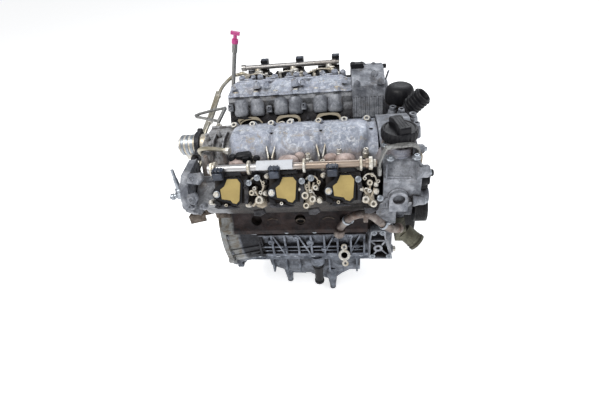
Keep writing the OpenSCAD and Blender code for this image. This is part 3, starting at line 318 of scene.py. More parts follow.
def rail_zones(name):
    t = NT(name)
    x = t.axis(0)
    s = t.noise(1.0, 4, 0.6, 0, (8, 500, 500))
    silver = t.mix(t.ramp(s, [(0.35, 0.0), (0.65, 1.0)]), (0.36, 0.35, 0.35), (0.66, 0.66, 0.67))
    bronze = t.mix(t.ramp(s, [(0.35, 0.0), (0.65, 1.0)]), (0.17, 0.125, 0.10), (0.46, 0.38, 0.31))
    r = t.n("ShaderNodeMapRange")
    t.link(x, r.inputs["Value"])
    r.inputs["From Min"].default_value = 0.19
    r.inputs["From Max"].default_value = 0.25
    col = t.mix(r.outputs[0], silver, bronze)
    far = t.span(t.axis(1), 0.0, 0.4, 0.002)
    col = t.mix(t.math("MULTIPLY", far, 0.8), col, (0.30, 0.29, 0.28))
    # painted shade: ambient occlusion darkens recesses toward the grime colour, partly real dirt
    g = t.ramp(t.math("ADD", t.ao(0.012), t.math("MULTIPLY", t.math("SUBTRACT", t.noise(160, 5), 0.5), 0.6)), [(0.2, 1.0), (0.68, 0.0)])
    col = t.mix(t.math("MULTIPLY", g, 0.5), col, GRIME_AND_SHADE)
    n = t.bump(s, 0.2, 0.0004, t.edge_normal(0.0007))
    return t.done(col, t.math("ADD", t.math("MULTIPLY", s, 0.25), 0.27), n, 0.8)


M["rail"] = rail_zones("m_rail_zoned")
M["black"] = plastic("m_black", (0.008, 0.008, 0.010), (0.055, 0.055, 0.06), 0.42, 0.22, 0.2)
M["blackmetal"] = plastic("m_blackmetal", (0.010, 0.010, 0.012), (0.08, 0.075, 0.07), 0.45, 0.3, 0.3)
M["gasket"] = machined("m_gasket", (0.10, 0.10, 0.11), (0.045, 0.045, 0.05), GRIME_AND_SHADE, 0.3, 0.55, (200, 200, 200))
M["rims"] = plastic("m_rims", (0.36, 0.31, 0.23), (0.50, 0.46, 0.38), 0.6, 0.3, 0.6)
M["plastic_tan"] = plastic("m_tan", (0.36, 0.31, 0.24), (0.56, 0.53, 0.47), 0.5, 0.3, 0.6)
M["paper"] = plastic("m_paper", (0.58, 0.60, 0.64), (0.42, 0.42, 0.44), 0.55, 0.3, 0.5)
M["pink"] = plastic("m_pink", (0.50, 0.055, 0.23), (0.66, 0.25, 0.42), 0.36, 0.4, 0.4)


def mask_material():
    t = NT("m_mask")
    c = t.mix(t.ramp(t.noise(32, 7, 0.6), [(0.3, 0.0), (0.7, 1.0)]), (0.31, 0.23, 0.08), (0.41, 0.31, 0.112))
    dirt = t.ramp(t.noise(85, 8, 0.75, 0.5), [(0.6, 0.0), (0.74, 1.0)])
    c = t.mix(t.math("MULTIPLY", dirt, 0.5), c, (0.13, 0.09, 0.04))
    n = t.bump(t.noise(70, 4, 0.5, 1.2), 0.35, 0.0015)
    n = t.bump(t.noise(900, 2), 0.1, 0.0003, n)
    return t.done(c, 0.5, n, 0.0, 0.4)


M["mask"] = mask_material()

M["clip"] = plastic("m_clip", (0.020, 0.026, 0.042), (0.15, 0.18, 0.24), 0.36, 0.4, 0.45)
# painted shade: near-black colour for the shade inside the open oval throats
M["throat_shade"] = plastic("m_throat_shade", (0.0022, 0.002, 0.002), (0.004, 0.004, 0.004), 0.85, 0.02, 0.2)
M["dome"] = cast("m_dome", (0.62, 0.52, 0.49), (0.36, 0.28, 0.26), (0.05, 0.03, 0.02), (0.30, 0.17, 0.11), 0.5, 0.2, 0.4, 900, 0.012)

slot_of = {s["node"]: s["material_slot"] for s in frame["record"]["subparts"]}
for name, ob in frame["nodes"].items():
    ob.data.materials.clear()
    ob.data.materials.append(M[slot_of[name]])
    for p in ob.data.polygons:
        p.material_index = 0


# ------------------------------------------------------------------ shapes (all lengths in mm)
def pl(p, l):
    return (p * C30 + l * S30, l * C30 - p * S30)


def frame_at(o, z, x=None):
    """A matrix whose local z runs along z, with local x near the given direction."""
    z = Vector(z).normalized()
    ref = Vector(x) if x else (Vector((1, 0, 0)) if abs(z.x) < 0.9 else Vector((0, 0, 1)))
    y = z.cross(ref).normalized()
    xx = y.cross(z).normalized()
    m = Matrix((xx, y, z)).transposed().to_4x4()
    m.translation = Vector(o)
    return m


def port_m(x):
    """Frame on the near bank's port plane: local x along the engine, y down the face, z out of it."""
    a = math.radians(54)
    m = Matrix(((1, 0, 0), (0, -math.cos(a), -math.sin(a)), (0, -math.sin(a), math.cos(a)))).to_4x4()
    m.translation = Vector((x, -299, 301))
    return m


def bank_m(x, near):
    """Frame of a bank: local x along the engine, y outboard along the deck, z along the bores."""
    s = -1 if near else 1
    m = Matrix(((1, 0, 0), (0, s * C30, s * S30), (0, -S30, C30))).to_4x4()
    m.translation = Vector((x, 0, 0))
    return m


class Kit:
    """Gathers many small solids into one piece."""

    def __init__(self, name, slot, body="engine", bevel=0.0, seg=2, angle=35, smooth=40, mat=None):
        self.mat = mat
        self.name, self.slot, self.body, self.bevel, self.seg, self.angle, self.smooth = name, slot, body, bevel, seg, angle, smooth
        self.v, self.f = [], []

    def add(self, verts, faces, m=None):
        b = len(self.v)
        if m is not None:
            verts = [m @ Vector(p) for p in verts]
            if m.to_3x3().determinant() < 0:
                faces = [tuple(reversed(f)) for f in faces]
        self.v += [tuple(p) for p in verts]
        self.f += [tuple(i + b for i in f) for f in faces]
        return self

    def rings(self, rings, caps=True, m=None):
        """Skin over a list of closed rings with equal counts."""
        n = len(rings[0])
        v = [p for r in rings for p in r]
        f = [(i * n + j, i * n + (j + 1) % n, (i + 1) * n + (j + 1) % n, (i + 1) * n + j) for i in range(len(rings) - 1) for j in range(n)]
        if caps:
            f.append(tuple(range(n - 1, -1, -1)))
            f.append(tuple((len(rings) - 1) * n + j for j in range(n)))
        return self.add(v, f, m)

    def lathe(self, prof, m, n=20, sx=1.0, sy=1.0):
        """Turns (radius, height) pairs about local z; the ends close with flat caps."""
        rr = [[(sx * r * math.cos(2 * math.pi * j / n), sy * r * math.sin(2 * math.pi * j / n), h) for j in range(n)] for r, h in prof]
        return self.rings(rr, True, m)

    def ring(self, ro, ri, h0, h1, m, n=20, c=0.6):
        """A ring with chamfered edges and an open bore."""
        prof = [(ri, h0), (ro - c, h0), (ro, h0 + c), (ro, h1 - c), (ro - c, h1), (ri + c, h1), (ri, h1 - c)]
        rr = [[(r * math.cos(2 * math.pi * j / n), r * math.sin(2 * math.pi * j / n), h) for j in range(n)] for r, h in prof]
        k = len(prof)
        v = [p for r in rr for p in r]
        f = [(i * n + j, i * n + (j + 1) % n, ((i + 1) % k) * n + (j + 1) % n, ((i + 1) % k) * n + j) for i in range(k) for j in range(n)]
        return self.add(v, f, m)

    def bolt(self, m, r=6.0, h=6.0, washer=True, pit=True):
        """A hexagon flange bolt with a dimpled head."""
        if washer:
            self.lathe([(r * 1.5, -2.0), (r * 1.5, 0.4), (r * 1.25, 1.4), (r * 0.9, 1.8)], m, 22)
        n = 6
        prof = [(r, 0.0), (r, h - 1.0), (r * 0.86, h)]
        if pit:
            prof += [(r * 0.5, h), (r * 0.42, h - 1.4)]
        return self.lathe(prof, m, n)

    def socket(self, m, r=6.5, h=7.0):
        """A round socket-head bolt."""
        return self.lathe([(r * 1.35, -2.0), (r * 1.35, 0.6), (r, 1.0), (r, h - 0.8), (r - 0.8, h), (r * 0.55, h), (r * 0.5, h - 3.2)], m, 22)

    def prism(self, pts, h0, h1, m, c=0.0):
        """Extrudes a counter-clockwise outline from h0 to h1, drawn in by c at the top."""
        def inset(q, d):
            n = len(q)
            out = []
            for i in range(n):
                a, b, e = Vector(q[i - 1]), Vector(q[i]), Vector(q[(i + 1) % n])
                u, w = (b - a).normalized(), (e - b).normalized()
                nn = Vector((-(u.y + w.y), u.x + w.x))
                k = nn.length
                nn = nn / k if k > 1e-6 else Vector((-u.y, u.x))
                s = d / max(0.35, nn.dot(Vector((-u.y, u.x))))
                out.append((b.x + nn.x * s, b.y + nn.y * s))
            return out
        rr = [[(x, y, h0) for x, y in pts], [(x, y, h1 - c) for x, y in pts]]
        if c:
            rr.append([(x, y, h1) for x, y in inset(pts, c)])
        return self.rings(rr, True, m)

    def box(self, lo, hi, m=None, c=1.0):
        x0, y0, z0 = lo
        x1, y1, z1 = hi
        cc = min(c, (x1 - x0) * 0.3, (y1 - y0) * 0.3)
        o = [(x0 + cc, y0), (x1 - cc, y0), (x1, y0 + cc), (x1, y1 - cc), (x1 - cc, y1), (x0 + cc, y1), (x0, y1 - cc), (x0, y0 + cc)]
        return self.prism(o, z0, z1, m, min(c, (z1 - z0) * 0.3))

    def tube(self, pts, r, n=14, steps=8, flat=None):
        """A round tube along a smooth curve; r may be one radius or one per point."""
        P = [Vector(p) for p in pts]
        R = r if isinstance(r, (list, tuple)) else [r] * len(P)
        c, cr = [], []
        m = len(P) - 1
        for i in range(m):
            a, b, d, e = P[max(i - 1, 0)], P[i], P[i + 1], P[min(i + 2, m)]
            for j in range(steps if i < m - 1 else steps + 1):
                t = j / steps
                c.append(0.5 * (2 * b + (d - a) * t + (2 * a - 5 * b + 4 * d - e) * t * t + (3 * b - a - 3 * d + e) * t * t * t))
                cr.append(R[i] + (R[i + 1] - R[i]) * t)
        rings = []
        up = None
        for i, p in enumerate(c):
            t = (c[min(i + 1, len(c) - 1)] - c[max(i - 1, 0)]).normalized()
            if up is None:
                up = t.orthogonal().normalized()
            up = (up - t * up.dot(t)).normalized()
            w = t.cross(up)
            rings.append([tuple(p + cr[i] * (math.cos(2 * math.pi * j / n) * up + math.sin(2 * math.pi * j / n) * w)) for j in range(n)])
        return self.rings(rings)

    def done(self, replaces=(), mods=True):
        me = bpy.data.meshes.new(self.name)
        me.from_pydata([(x * MM, y * MM, z * MM) for x, y, z in self.v], [], self.f)
        me.validate()
        bm = bmesh.new()
        bm.from_mesh(me)
        bmesh.ops.remove_doubles(bm, verts=bm.verts, dist=1e-6)
        bmesh.ops.recalc_face_normals(bm, faces=bm.faces)
        bm.to_mesh(me)
        bm.free()
        me.shade_smooth()
        me.set_sharp_from_angle(angle=math.radians(self.smooth))
        o = bpy.data.objects.new(self.name, me)
        bpy.context.collection.objects.link(o)
        me.materials.append(M[self.mat or self.slot])
        if self.bevel:
            b = o.modifiers.new("edges", "BEVEL")
            b.width = self.bevel * MM
            b.segments = self.seg
            b.limit_method = "ANGLE"
            b.angle_limit = math.radians(self.angle)
            b.use_clamp_overlap = True
        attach(o, self.body)
        if replaces:
            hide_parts(*replaces)
        return o


def smooth(a, b, x):
    t = max(0.0, min(1.0, (x - a) / (b - a)))
    return t * t * (3 - 2 * t)


# ------------------------------------------------------------------ sculpted camshaft covers
def interp(poly, y):
    for (a, za), (b, zb) in zip(poly, poly[1:]):
        if a <= y <= b:
            return za + (zb - za) * (y - a) / (b - a)
    return poly[0][1] if y < poly[0][0] else poly[-1][1]


def cover_piece(near):
    """A hollow cast cover with three rounded lobes, scalloped along its valley edge."""
    s = -1 if near else 1
    x_end = 385 if near else 340
    off = 36 if near else 0
    d = 0 if near else 9
    hi = [(81.5, 320), (88, 326), (100, 333 - d * 0.4), (116, 339 - d * 0.8), (134, 342.5 - d), (152, 343 - d), (168, 340 - d), (182, 334 - d), (194, 323 - d), (202, 309 - d), (206, 292 - d * 0.5), (207, 270), (206.4, 257.4)]
    lo = [(81.5, 320), (88, 323), (100, 324.4), (116, 326.2 - d * 0.2), (134, 329 - d * 0.5), (152, 329 - d * 0.5), (168, 325 - d * 0.5), (182, 318 - d * 0.5), (194, 306 - d * 0.5), (200, 293), (204, 281), (206, 266), (206.4, 257.4)]
    ys = [81.5, 84, 88, 93, 99, 105, 112, 119, 126, 134, 142, 150, 157, 164, 170, 176, 182, 187, 192, 196, 200, 203, 205, 206.2, 206.6, 206.4]
    tt = [i / 25 for i in range(26)]
    lobes = [(76, 163), (167, 267), (271, 366)] if near else [(off + 66 + 106 * k - 46, off + 66 + 106 * k + 44) for k in range(3)]

    def weight(x, y):
        best = -99
        for a, b in lobes:
            cx, hw = (a + b) / 2, (b - a) / 2
            shrink = 0.0 if y < 158 else 13 * smooth(158, 208, y)
            inner = 7 * (1 - smooth(88, 112, y))
            best = max(best, hw - shrink - inner - abs(x - cx))
        base = 0.32 * (1 - smooth(150, 176, y)) * smooth(66, 76, x if near else 90)
        return base + (1 - base) * smooth(-7, 7, best)

    bolts = [68, 111, 154, 197, 261, 318, 367] if near else [36, 89, 142, 195, 248, 301]
    rings = []
    nx = 190
    for i in range(nx + 1):
        x = 14 + (x_end - 14) * i / nx
        row = []
        a, b = pl(-90, 318), pl(-90, 325)
        row.append((x, s * a[0], a[1]))
        row.append((x, s * b[0], b[1]))
        for t in tt:
            # walk along the profile by arc parameter, blending the two outlines
            k = t * (len(hi) - 1)
            j = min(int(k), len(hi) - 2)
            fr = k - j
            yh, zh = hi[j][0] + (hi[j + 1][0] - hi[j][0]) * fr, hi[j][1] + (hi[j + 1][1] - hi[j][1]) * fr
            yl, zl = lo[j][0] + (lo[j + 1][0] - lo[j][0]) * fr, lo[j][1] + (lo[j + 1][1] - lo[j][1]) * fr
            w = weight(x, yh)
            y, z = yl + (yh - yl) * w, zl + (zh - zl) * w
            # shallow scoops round the sleeves on the valley edge
            for bx in bolts:
                q = math.hypot(x - bx, (y - 84) * 1.1)
                if q < 24:
                    z -= (z - 323.2) * (1 - smooth(13, 24, q)) if z > 323.2 else 0
            z += 0.35 * math.sin(x * 0.09 + y * 0.05) * w
            row.append((x, s * y, z))
        e = pl(50, 318)
        row.append((x, s * e[0], e[1]))
        for p, l in ((40.5, 318), (40.5, 330), (26, 340), (-50, 340), (-62, 338), (-71, 328), (-71, 318)):
            q = pl(p, l)
            row.append((x, s * q[0], q[1]))
        rings.append(row)
    k = Kit("cover_near_shell" if near else "cover_far_shell", "cover", bevel=0.0, smooth=50)
    k.rings(rings)
    # end wall, flange lip and the rim under the dome
    full = [pl(-90, 318), pl(-90, 325)] + [(interp_y, interp(lo, interp_y)) for interp_y in (84, 92, 104, 120, 136, 152, 168, 184, 194, 202)] + [(205.5, 268), pl(50, 318)]
    k.rings([[(x, s * y, z - 1.5) for y, z in full] for x in (14.2, 23.0)])
    for x0, x1, p0, p1, l0, l1 in ((14, x_end, -91, -86, 318, 324.5), (14, x_end, 48, 52.5, 318, 324)):
        q = [pl(p0, l0), pl(p1, l0), pl(p1, l1), pl(p0, l1)]
        k.rings([[(x, s * y, z) for y, z in q] for x in (x0, x1)])
    # sleeves along the valley edge and lugs along the outer edge
    for bx in bolts:
        m = bank_m(bx, near) @ Matrix.Translation((0, -88, 0))
        k.lathe([(11.5, 318), (10.5, 322), (9.2, 327), (8.4, 328)], m, 24)
    for bx in ([60, 166, 272, 372] if near else [26, 119, 225, 328]):
        m = bank_m(bx, near) @ Matrix.Translation((0, 55.5, 0))
        k.lathe([(8.6, 318.2), (8.4, 326), (7.6, 328)], m, 22)
        k.box((-8, -12, 318.2), (8, 0, 327), m, 1.5)
    return k.done(("cam_cover_near",) if near else ("cam_cover_far",))


cover_piece(True)
cover_piece(False)


def cover_fixings():
    k = Kit("cover_sleeves", "zinc", bevel=0.0)
    for near in (True, False):
        for bx in ([68, 111, 154, 197, 261, 318, 367] if near else [36, 89, 142, 195, 248, 301]):
            m = bank_m(bx, near) @ Matrix.Translation((0, -88, 0))
            k.ring(6.8, 3.2, 322, 331.5, m, 22, 0.7)
        for bx in ([60, 166, 272, 372] if near else [26, 119, 225, 328]):
            m = bank_m(bx, near) @ Matrix.Translation((0, 56.5, 328.0))
            k.bolt(m, 5.6, 5.5)
    k.done(("cover_bolts",))


cover_fixings()


# ------------------------------------------------------------------ near port face
T = Matrix.Translation


def R(axis, deg):
    return Matrix.Rotation(math.radians(deg), 4, axis)


def at(x, y, z):
    return T((x, y, z))


def port_fixings():
    k = Kit("port_bolts_near", "steel")
    for x, s, r in ((74, 5, 6.2), (180, 5, 6.2), (286, 5, 6.2), (137, -15, 5.2), (153, -24, 5.6), (237, -15, 5.4), (254, -20, 5.6), (340, -15, 5.4), (379, 21, 5.2)):
        k.bolt(port_m(x) @ at(0, s, -3 if x > 370 else 3.3), r * 0.74, 5.4)
    k.done()
    k = Kit("port_rings_near", "zinc")
    for x, s, ro, ri in ((155, 18, 7.5, 3.6), (242, 12, 7.0, 3.4), (256, 19, 6.2, 2.8), (243, 31, 5.8, 2.8), (353, 22, 6.6, 2.6), (367, 31, 6.4, 2.8), (141, 4, 5.2, 2.2), (262, -2, 4.8, 2.0), (361, -8, 5.4, 2.2)):
        h = -6 if s > 25 else 0
        k.lathe([(ro + 1.6, -26), (ro + 0.6, -8), (ro, -4)], port_m(x) @ at(0, s, h), 22)
        k.ring(ro, ri, -4.0, 1.5, port_m(x) @ at(0, s, h), 22, 0.8)
    k.done()
    # cream castings between the intake towers
    k = Kit("port_webs_near", "plastic_tan", bevel=0.8)
    for cx, v in ((155, 0), (250, 1), (358, 2)):
        m = port_m(cx)
        a = [[(-15, 14), (-6, 8), (5, 10), (14, 20), (15, 34), (4, 40), (-9, 36), (-17, 26)],
             [(-12, 6), (-4, -6), (5, -4), (12, 8), (13, 24), (8, 34), (-10, 36), (-14, 22)],
             [(-16, 20), (-9, 4), (-2, -4), (8, 0), (15, 14), (16, 30), (2, 36), (-13, 32)]][v]
        k.prism([(x * 0.72, 6 + y * 0.72) for x, y in a], -22, -9, m, 3.0)
        for x0, y0, x1, y1 in (((-12, -6, -2, 12), (10, -10, 2, 10), (-14, 30, -2, 18)), ((-10, -10, -3, 8), (9, -12, 3, 8), (0, -14, 0, 6)), ((-12, -2, -3, 14), (6, -10, 0, 12), (12, 2, 5, 18)))[v]:
            d = Vector((x1 - x0, y1 - y0)).normalized() * 1.7
            k.prism([(x0 - d.y, y0 + d.x), (x0 + d.y, y0 - d.x), (x1 + d.y, y1 - d.x), (x1 - d.y, y1 + d.x)], -22, -2.5, m, 0.9)
    k.done()
    # grey castings and lower strip behind them
    k = Kit("port_web_backs", "darkalloy", bevel=0.9)
    for cx, v in ((155, 0), (261, 1), (366, 2)):
        m = port_m(cx)
        k.prism([(-20, -34), (-8, -38), (9, -36), (18, -26), (17, -12), (4, -7), (-12, -10), (-21, -20)], -30, -15, m, 3)
        k.prism([(-16, 38), (4, 36), (8, 44), (-2, 50), (-14, 49)], -24, -12, m, 2.5)
        for dx in (-13, 0, 13):
            k.prism([(dx - 2, -30), (dx + 2, -30), (dx + 2, -14), (dx - 2, -14)], -20, -9, m, 0.8)
    k.done()
    # moulded black rims round the masked ports, and a black strip of painted shade above each port
    k = Kit("port_lips_near", "black", bevel=0.4)
    out = [(-6, -23), (13, -23), (19, -15), (16, 18), (10, 24), (3, 22), (-1, 17), (-18, 14), (-20, -4), (-12, -10)]
    for x in (102, 208, 314):
        m = port_m(x)
        n = len(out)
        for i in range(n):
            (ax, ay), (bx, by) = out[i], out[(i + 1) % n]
            a, b = m @ Vector((ax * 1.07, ay * 1.07, 3.6)), m @ Vector((bx * 1.07, by * 1.07, 3.6))
            k.tube([a, (a + b) / 2, b], 1.1, 8, 2)
        # painted shade: black strip filling the shaded band above the port, under the rail
        k.prism([(-24, -36), (20, -36), (22, -29), (-22, -29)], 0.5, 5.5, m, 1.0)
        k.prism([(-34, 14), (-22, 20), (-20, 27), (-32, 24)], 0.5, 4.5, m, 1.0)
    k.done()


def near_rail_bits():
    k = Kit("rail_label", "paper")
    n = 40
    rr = []
    for x0, r in ((154, 12.15), (154.6, 12.3), (221.4, 12.3), (222, 12.15)):
        rr.append([(x0, -275 + r * math.sin(t), 337 + r * math.cos(t)) for t in [math.radians(-82 + 150 * j / n) for j in range(n + 1)]] +
                  [(x0, -275 + (r - 0.6) * math.sin(t), 337 + (r - 0.6) * math.cos(t)) for t in [math.radians(68 - 150 * j / n) for j in range(n + 1)]])
    k.rings(rr)
    k.done()
    k = Kit("rail_end_fittings", "zinc", bevel=0.5)
    k.lathe([(9, 0), (12.4, 1), (12.4, 7), (9.5, 8), (7, 9), (7, 13), (4.5, 14)], at(359, -275, 337) @ R("Y", 90), 24)
    k.lathe([(12.6, 0), (13.6, 1), (13.6, 5), (12.6, 6)], at(64, -275, 337) @ R("Y", 90), 6)
    for x in (70, 136, 240, 343):
        k.lathe([(12.2, 0), (13.4, 0.8), (13.4, 4.2), (12.2, 5)], at(x, -275, 337) @ R("Y", 90), 26)
    k.done()
    k = Kit("rail_clips", "black", bevel=1.2, seg=2, mat="clip")
    for x in (82, 188, 294):
        m = at(x, -290, 338)
        k.box((-10.5, -4.5, -8), (10.5, 7.5, 7.5), m, 2)
        k.box((-9, -9, -11), (9, -3, 3), m, 1.4)
        for dx in (-6.5, 0, 6.5):
            k.box((dx - 0.9, -8, 6.4), (dx + 0.9, 6.5, 8.8), m, 0.4)
    for x in (86, 192, 298):
        m = at(x, 283, 338)
        k.box((-10, -8, -7), (10, 9, 8.5), m, 2)
        for dx in (-5, 5):
            k.box((dx - 0.9, -7, 7.5), (dx + 0.9, 8, 9.6), m, 0.4)
    k.done()
    # wiring and pipes between the cover and the rail
    k = Kit("valley_plugs_near", "black", bevel=1.0)
    k.box((-15, -9, -10), (15, 9, 7), at(117, -224, 331) @ R("Z", 8), 3)
    k.box((-6, -14, -7), (8, -8, 4), at(122, -224, 331), 1.5)
    k.lathe([(8.5, 0), (8.5, 6), (7, 8), (5, 14)], at(94, -221, 326) @ R("X", 70), 20)
    k.lathe([(7, 0), (7, 5), (5.5, 7), (4.5, 12)], at(143, -224, 324) @ R("X", 60), 20)
    k.tube([(60, -232, 316), (96, -240, 318), (150, -238, 312), (200, -240, 314), (262, -238, 311), (330, -240, 314), (366, -236, 312)], 3.0, 10, 8)
    k.done()
    k = Kit("injector_domes", "copper", mat="dome")
    for x, y, z, r in ((104, -228, 316, 15), (206, -224, 316, 17), (290, -219, 314, 12), (318, -226, 316, 16), (228, -212, 316, 9)):
        k.lathe([(r, -18), (r, -2), (r * 0.93, 3), (r * 0.74, 7), (r * 0.45, 9.2), (r * 0.16, 10)], at(x, y - 4, z + 3), 26, 1.25, 0.8)
    k.done()
    k = Kit("injector_sleeves", "zinc")
    for x, y, z in ((62, -240, 318), (132, -216, 320), (168, -236, 318), (244, -214, 320), (252, -240, 318), (274, -236, 318), (306, -196, 318), (359, -203, 320), (346, -240, 318)):
        k.lathe([(6.6, -16), (6.6, -5), (5.4, -4), (5.4, 0), (4.6, 1.0)], at(x, y, z), 18)
        k.ring(4.8, 2.3, 0, 3.6, at(x, y, z), 18, 0.6)
    k.done()
    # pale blades on the waists between the lobes
    k = Kit("waist_blades", "zinc", bevel=0.5)
    for cx in (165, 269):
        for x0, x1 in ((cx - 12, cx - 3), (cx + 12, cx + 4)):
            a, b = Vector((x0, -170, 333)), Vector((x1, -206, 312))
            w = Vector((1.5, 0, 0))
            d = Vector((0, -2, -14))
            k.rings([[a - w, a + w, a + w + d, a - w + d], [b - w, b + w, b + w + d, b - w + d]])
    k.done()
    k = Kit("waist_seams", "darkalloy", bevel=0.3)
    for x0, x1, y, z in ((150, 184, -151, 339.6), (256, 284, -150, 339.8), (352, 376, -146, 336.5)):
        k.rings([[(x, y + dy, z + dz) for dy, dz in ((-0.9, -5), (0.9, -5), (0.5, 0.5 * math.sin(math.pi * i / 8)), (-0.5, 0.5 * math.sin(math.pi * i / 8)))] for i, x in [(i, x0 + (x1 - x0) * i / 8) for i in range(9)]])
    k.done()


def far_side_bits():
    # wide half barrels along the far valley wall
    k = Kit("far_barrels", "alloy", bevel=0.0)
    for bx in (47, 91, 154, 193, 258, 296):
        m = bank_m(bx, False) @ T((0, -82, 268))
        n = 22
        rr = []
        for r, h in ((15, 0), (19, 4), (20, 9), (20, 41), (18, 44), (14, 45.5)):
            rr.append([(r * math.cos(t), -r * 0.62 * math.sin(t), h) for t in [math.pi * j / n for j in range(n + 1)]] + [(-r * 0.9, 5, h), (r * 0.9, 5, h)])
        k.rings(rr, True, m)
    k.done()
    k = Kit("far_front_rib_bed", "alloy", bevel=0.5)
    q = [pl(-74, 241), pl(-89.8, 251), pl(-95.4, 297), pl(-86, 301.5)]
    k.rings([[(x, y, z) for y, z in q] for x in (342, 418)])
    k.done()
    k = Kit("far_wall_lumps", "alloy", bevel=0.8)
    for x, l in ((215, 286), (20, 292), (124, 284)):
        m = bank_m(x, False) @ T((0, -90, l))
        k.box((-7, -7, -9), (7, 8, 9), m, 2.5)
        k.ring(5, 2.2, 0, 4, m @ T((0, -7, 2)) @ R("X", 90), 18, 0.6)
    k.done()
    # rim flange line under the far cover
    k = Kit("far_cover_band", "cover", bevel=0.6)
    q = [pl(-93.5, 317.6), pl(-88, 317.6), pl(-88, 323.4), pl(-93.5, 323.4)]
    rr = []
    for i in range(60):
        x = 14 + (338 - 14) * i / 59
        w = 1.4 * math.sin(x * 0.118 + 0.6)
        rr.append([(x, y - (w if j in (0, 3) else 0), z) for j, (y, z) in enumerate(q)])
    k.rings(rr)
    k.done()
    # posts, connectors and wiring between the far cover and the far rail
    k = Kit("far_posts", "zinc", bevel=0.0)
    for x in (72, 178, 284):
        m = at(x, 233, 286) @ R("X", -14)
        k.lathe([(8.5, 0), (8.5, 14), (6.4, 16), (6.4, 26), (10.5, 29), (11.5, 34), (11.5, 41), (8, 43)], m, 24)
    for x, y in ((36, 226), (82, 216), (130, 214), (196, 214), (238, 216), (306, 214)):
        k.lathe([(6.5, 0), (6.0, 14), (5, 17), (4.2, 27), (2.4, 29)], at(x, y, 292), 18)
    k.done()
    k = Kit("far_plugs", "black", bevel=1.0)
    for x, y, z, w in ((44, 232, 309, 11), (131, 236, 312, 14), (152, 226, 300, 12), (248, 228, 303, 13), (262, 236, 309, 10), (100, 232, 303, 9), (216, 233, 304, 9)):
        k.box((-w, -8, -10), (w, 8, 8), at(x, y, z) @ R("Y", (x * 7) % 24 - 12), 3)
        k.lathe([(w * 0.55, 0), (w * 0.55, 7), (w * 0.42, 9), (w * 0.3, 14)], at(x, y, z + 4) @ R("X", 38), 18)
    k.tube([(24, 238, 292), (66, 243, 300), (112, 240, 296), (160, 244, 298), (214, 241, 294), (262, 244, 298), (306, 238, 296)], 4.4, 10, 8)
    k.done()
    k = Kit("far_front_sensor", "black", bevel=1.2)
    k.box((-17, -7, 0), (13, 7, 10), at(356, 160, 351) @ R("Z", 10), 4)
    k.lathe([(6, 0), (7.5, 2), (7.5, 9), (5.5, 12), (3, 13)], at(345, 160, 352), 22)
    k.lathe([(7.4, 0), (8.4, 1), (8.4, 3), (7, 4)], at(368, 160, 356) @ R("Y", 62), 22)
    k.done()
    k = Kit("far_front_bosses", "alloy")
    for x, y, z in ((351, 182, 351), (372, 186, 351), (400, 182, 350), (411, 160, 346), (398, 120, 352), (412, 84, 346), (352, 62, 352)):
        k.lathe([(9, -8), (8.4, -1), (7.6, 2), (7.0, 3)], at(x, y, z - 4), 22)
        k.ring(5.2, 2.3, -1, 3.5, at(x, y, z - 2), 20, 0.6)
    k.done()


def valley_bits():
    k = Kit("valley_sleeves", "zinc")
    for x, y, z in ((175, -71, 316), (197, -73, 322), (25, -68, 317)):
        k.lathe([(8.8, -30), (8.2, -6), (7.4, 0)], at(x, y, z), 22)
        k.ring(7.2, 3.4, -1, 4.5, at(x, y, z), 22, 0.7)
    k.done()
    k = Kit("oval_rims", "rims")
    n = 48
    for x, y, z in ((78, 26, 270), (175, 30, 270), (280, 30, 270)):
        m = at(x, y, z) @ R("X", 22)
        rr = []
        for ox, oy, h in ((28, 15, -3), (29, 16, 0), (28.4, 15.4, 2.2), (26.2, 13.4, 2.2), (25.4, 12.6, 0), (25.4, 12.6, -3)):
            rr.append([(ox * math.cos(2 * math.pi * j / n) * (1 + 0.05 * math.cos(4 * math.pi * j / n)), oy * math.sin(2 * math.pi * j / n), h) for j in range(n)])
        v = [p for r in rr for p in r]
        f = [(i * n + j, i * n + (j + 1) % n, ((i + 1) % 6) * n + (j + 1) % n, ((i + 1) % 6) * n + j) for i in range(6) for j in range(n)]
        k.add(v, f, m)
    k.done()
    # the throats take the painted-shade material
    k = Kit("oval_throats", "black", mat="throat_shade")
    for x, y, z in ((78, 26, 270), (175, 30, 270), (280, 30, 270)):
        m = at(x, y, z) @ R("X", 22)
        k.lathe([(24.8, -34), (25.6, -2), (25.3, 1.0), (22, 0.2), (14, -0.6), (4, -1)], m, 40, 1.0, 0.5)
    k.done()
    k = Kit("valley_clutter", "darkalloy", bevel=0.9)
    for x, y, z, a in ((40, 30, 262, 8), (126, 34, 262, 11), (134, 18, 258, 9), (226, 36, 262, 12), (236, 16, 258, 9), (330, 30, 262, 12), (322, 4, 262, 9), (118, 0, 256, 8), (214, -4, 256, 8)):
        k.box((-a, -a * 0.7, -18), (a, a * 0.7, 6), at(x, y, z) @ R("Z", (x * 13) % 50), 2.5)
        k.lathe([(a * 0.5, 0), (a * 0.5, 6), (a * 0.36, 8), (a * 0.2, 11)], at(x, y, z + 6), 18)
    k.done()


port_fixings()
near_rail_bits()
far_side_bits()
valley_bits()


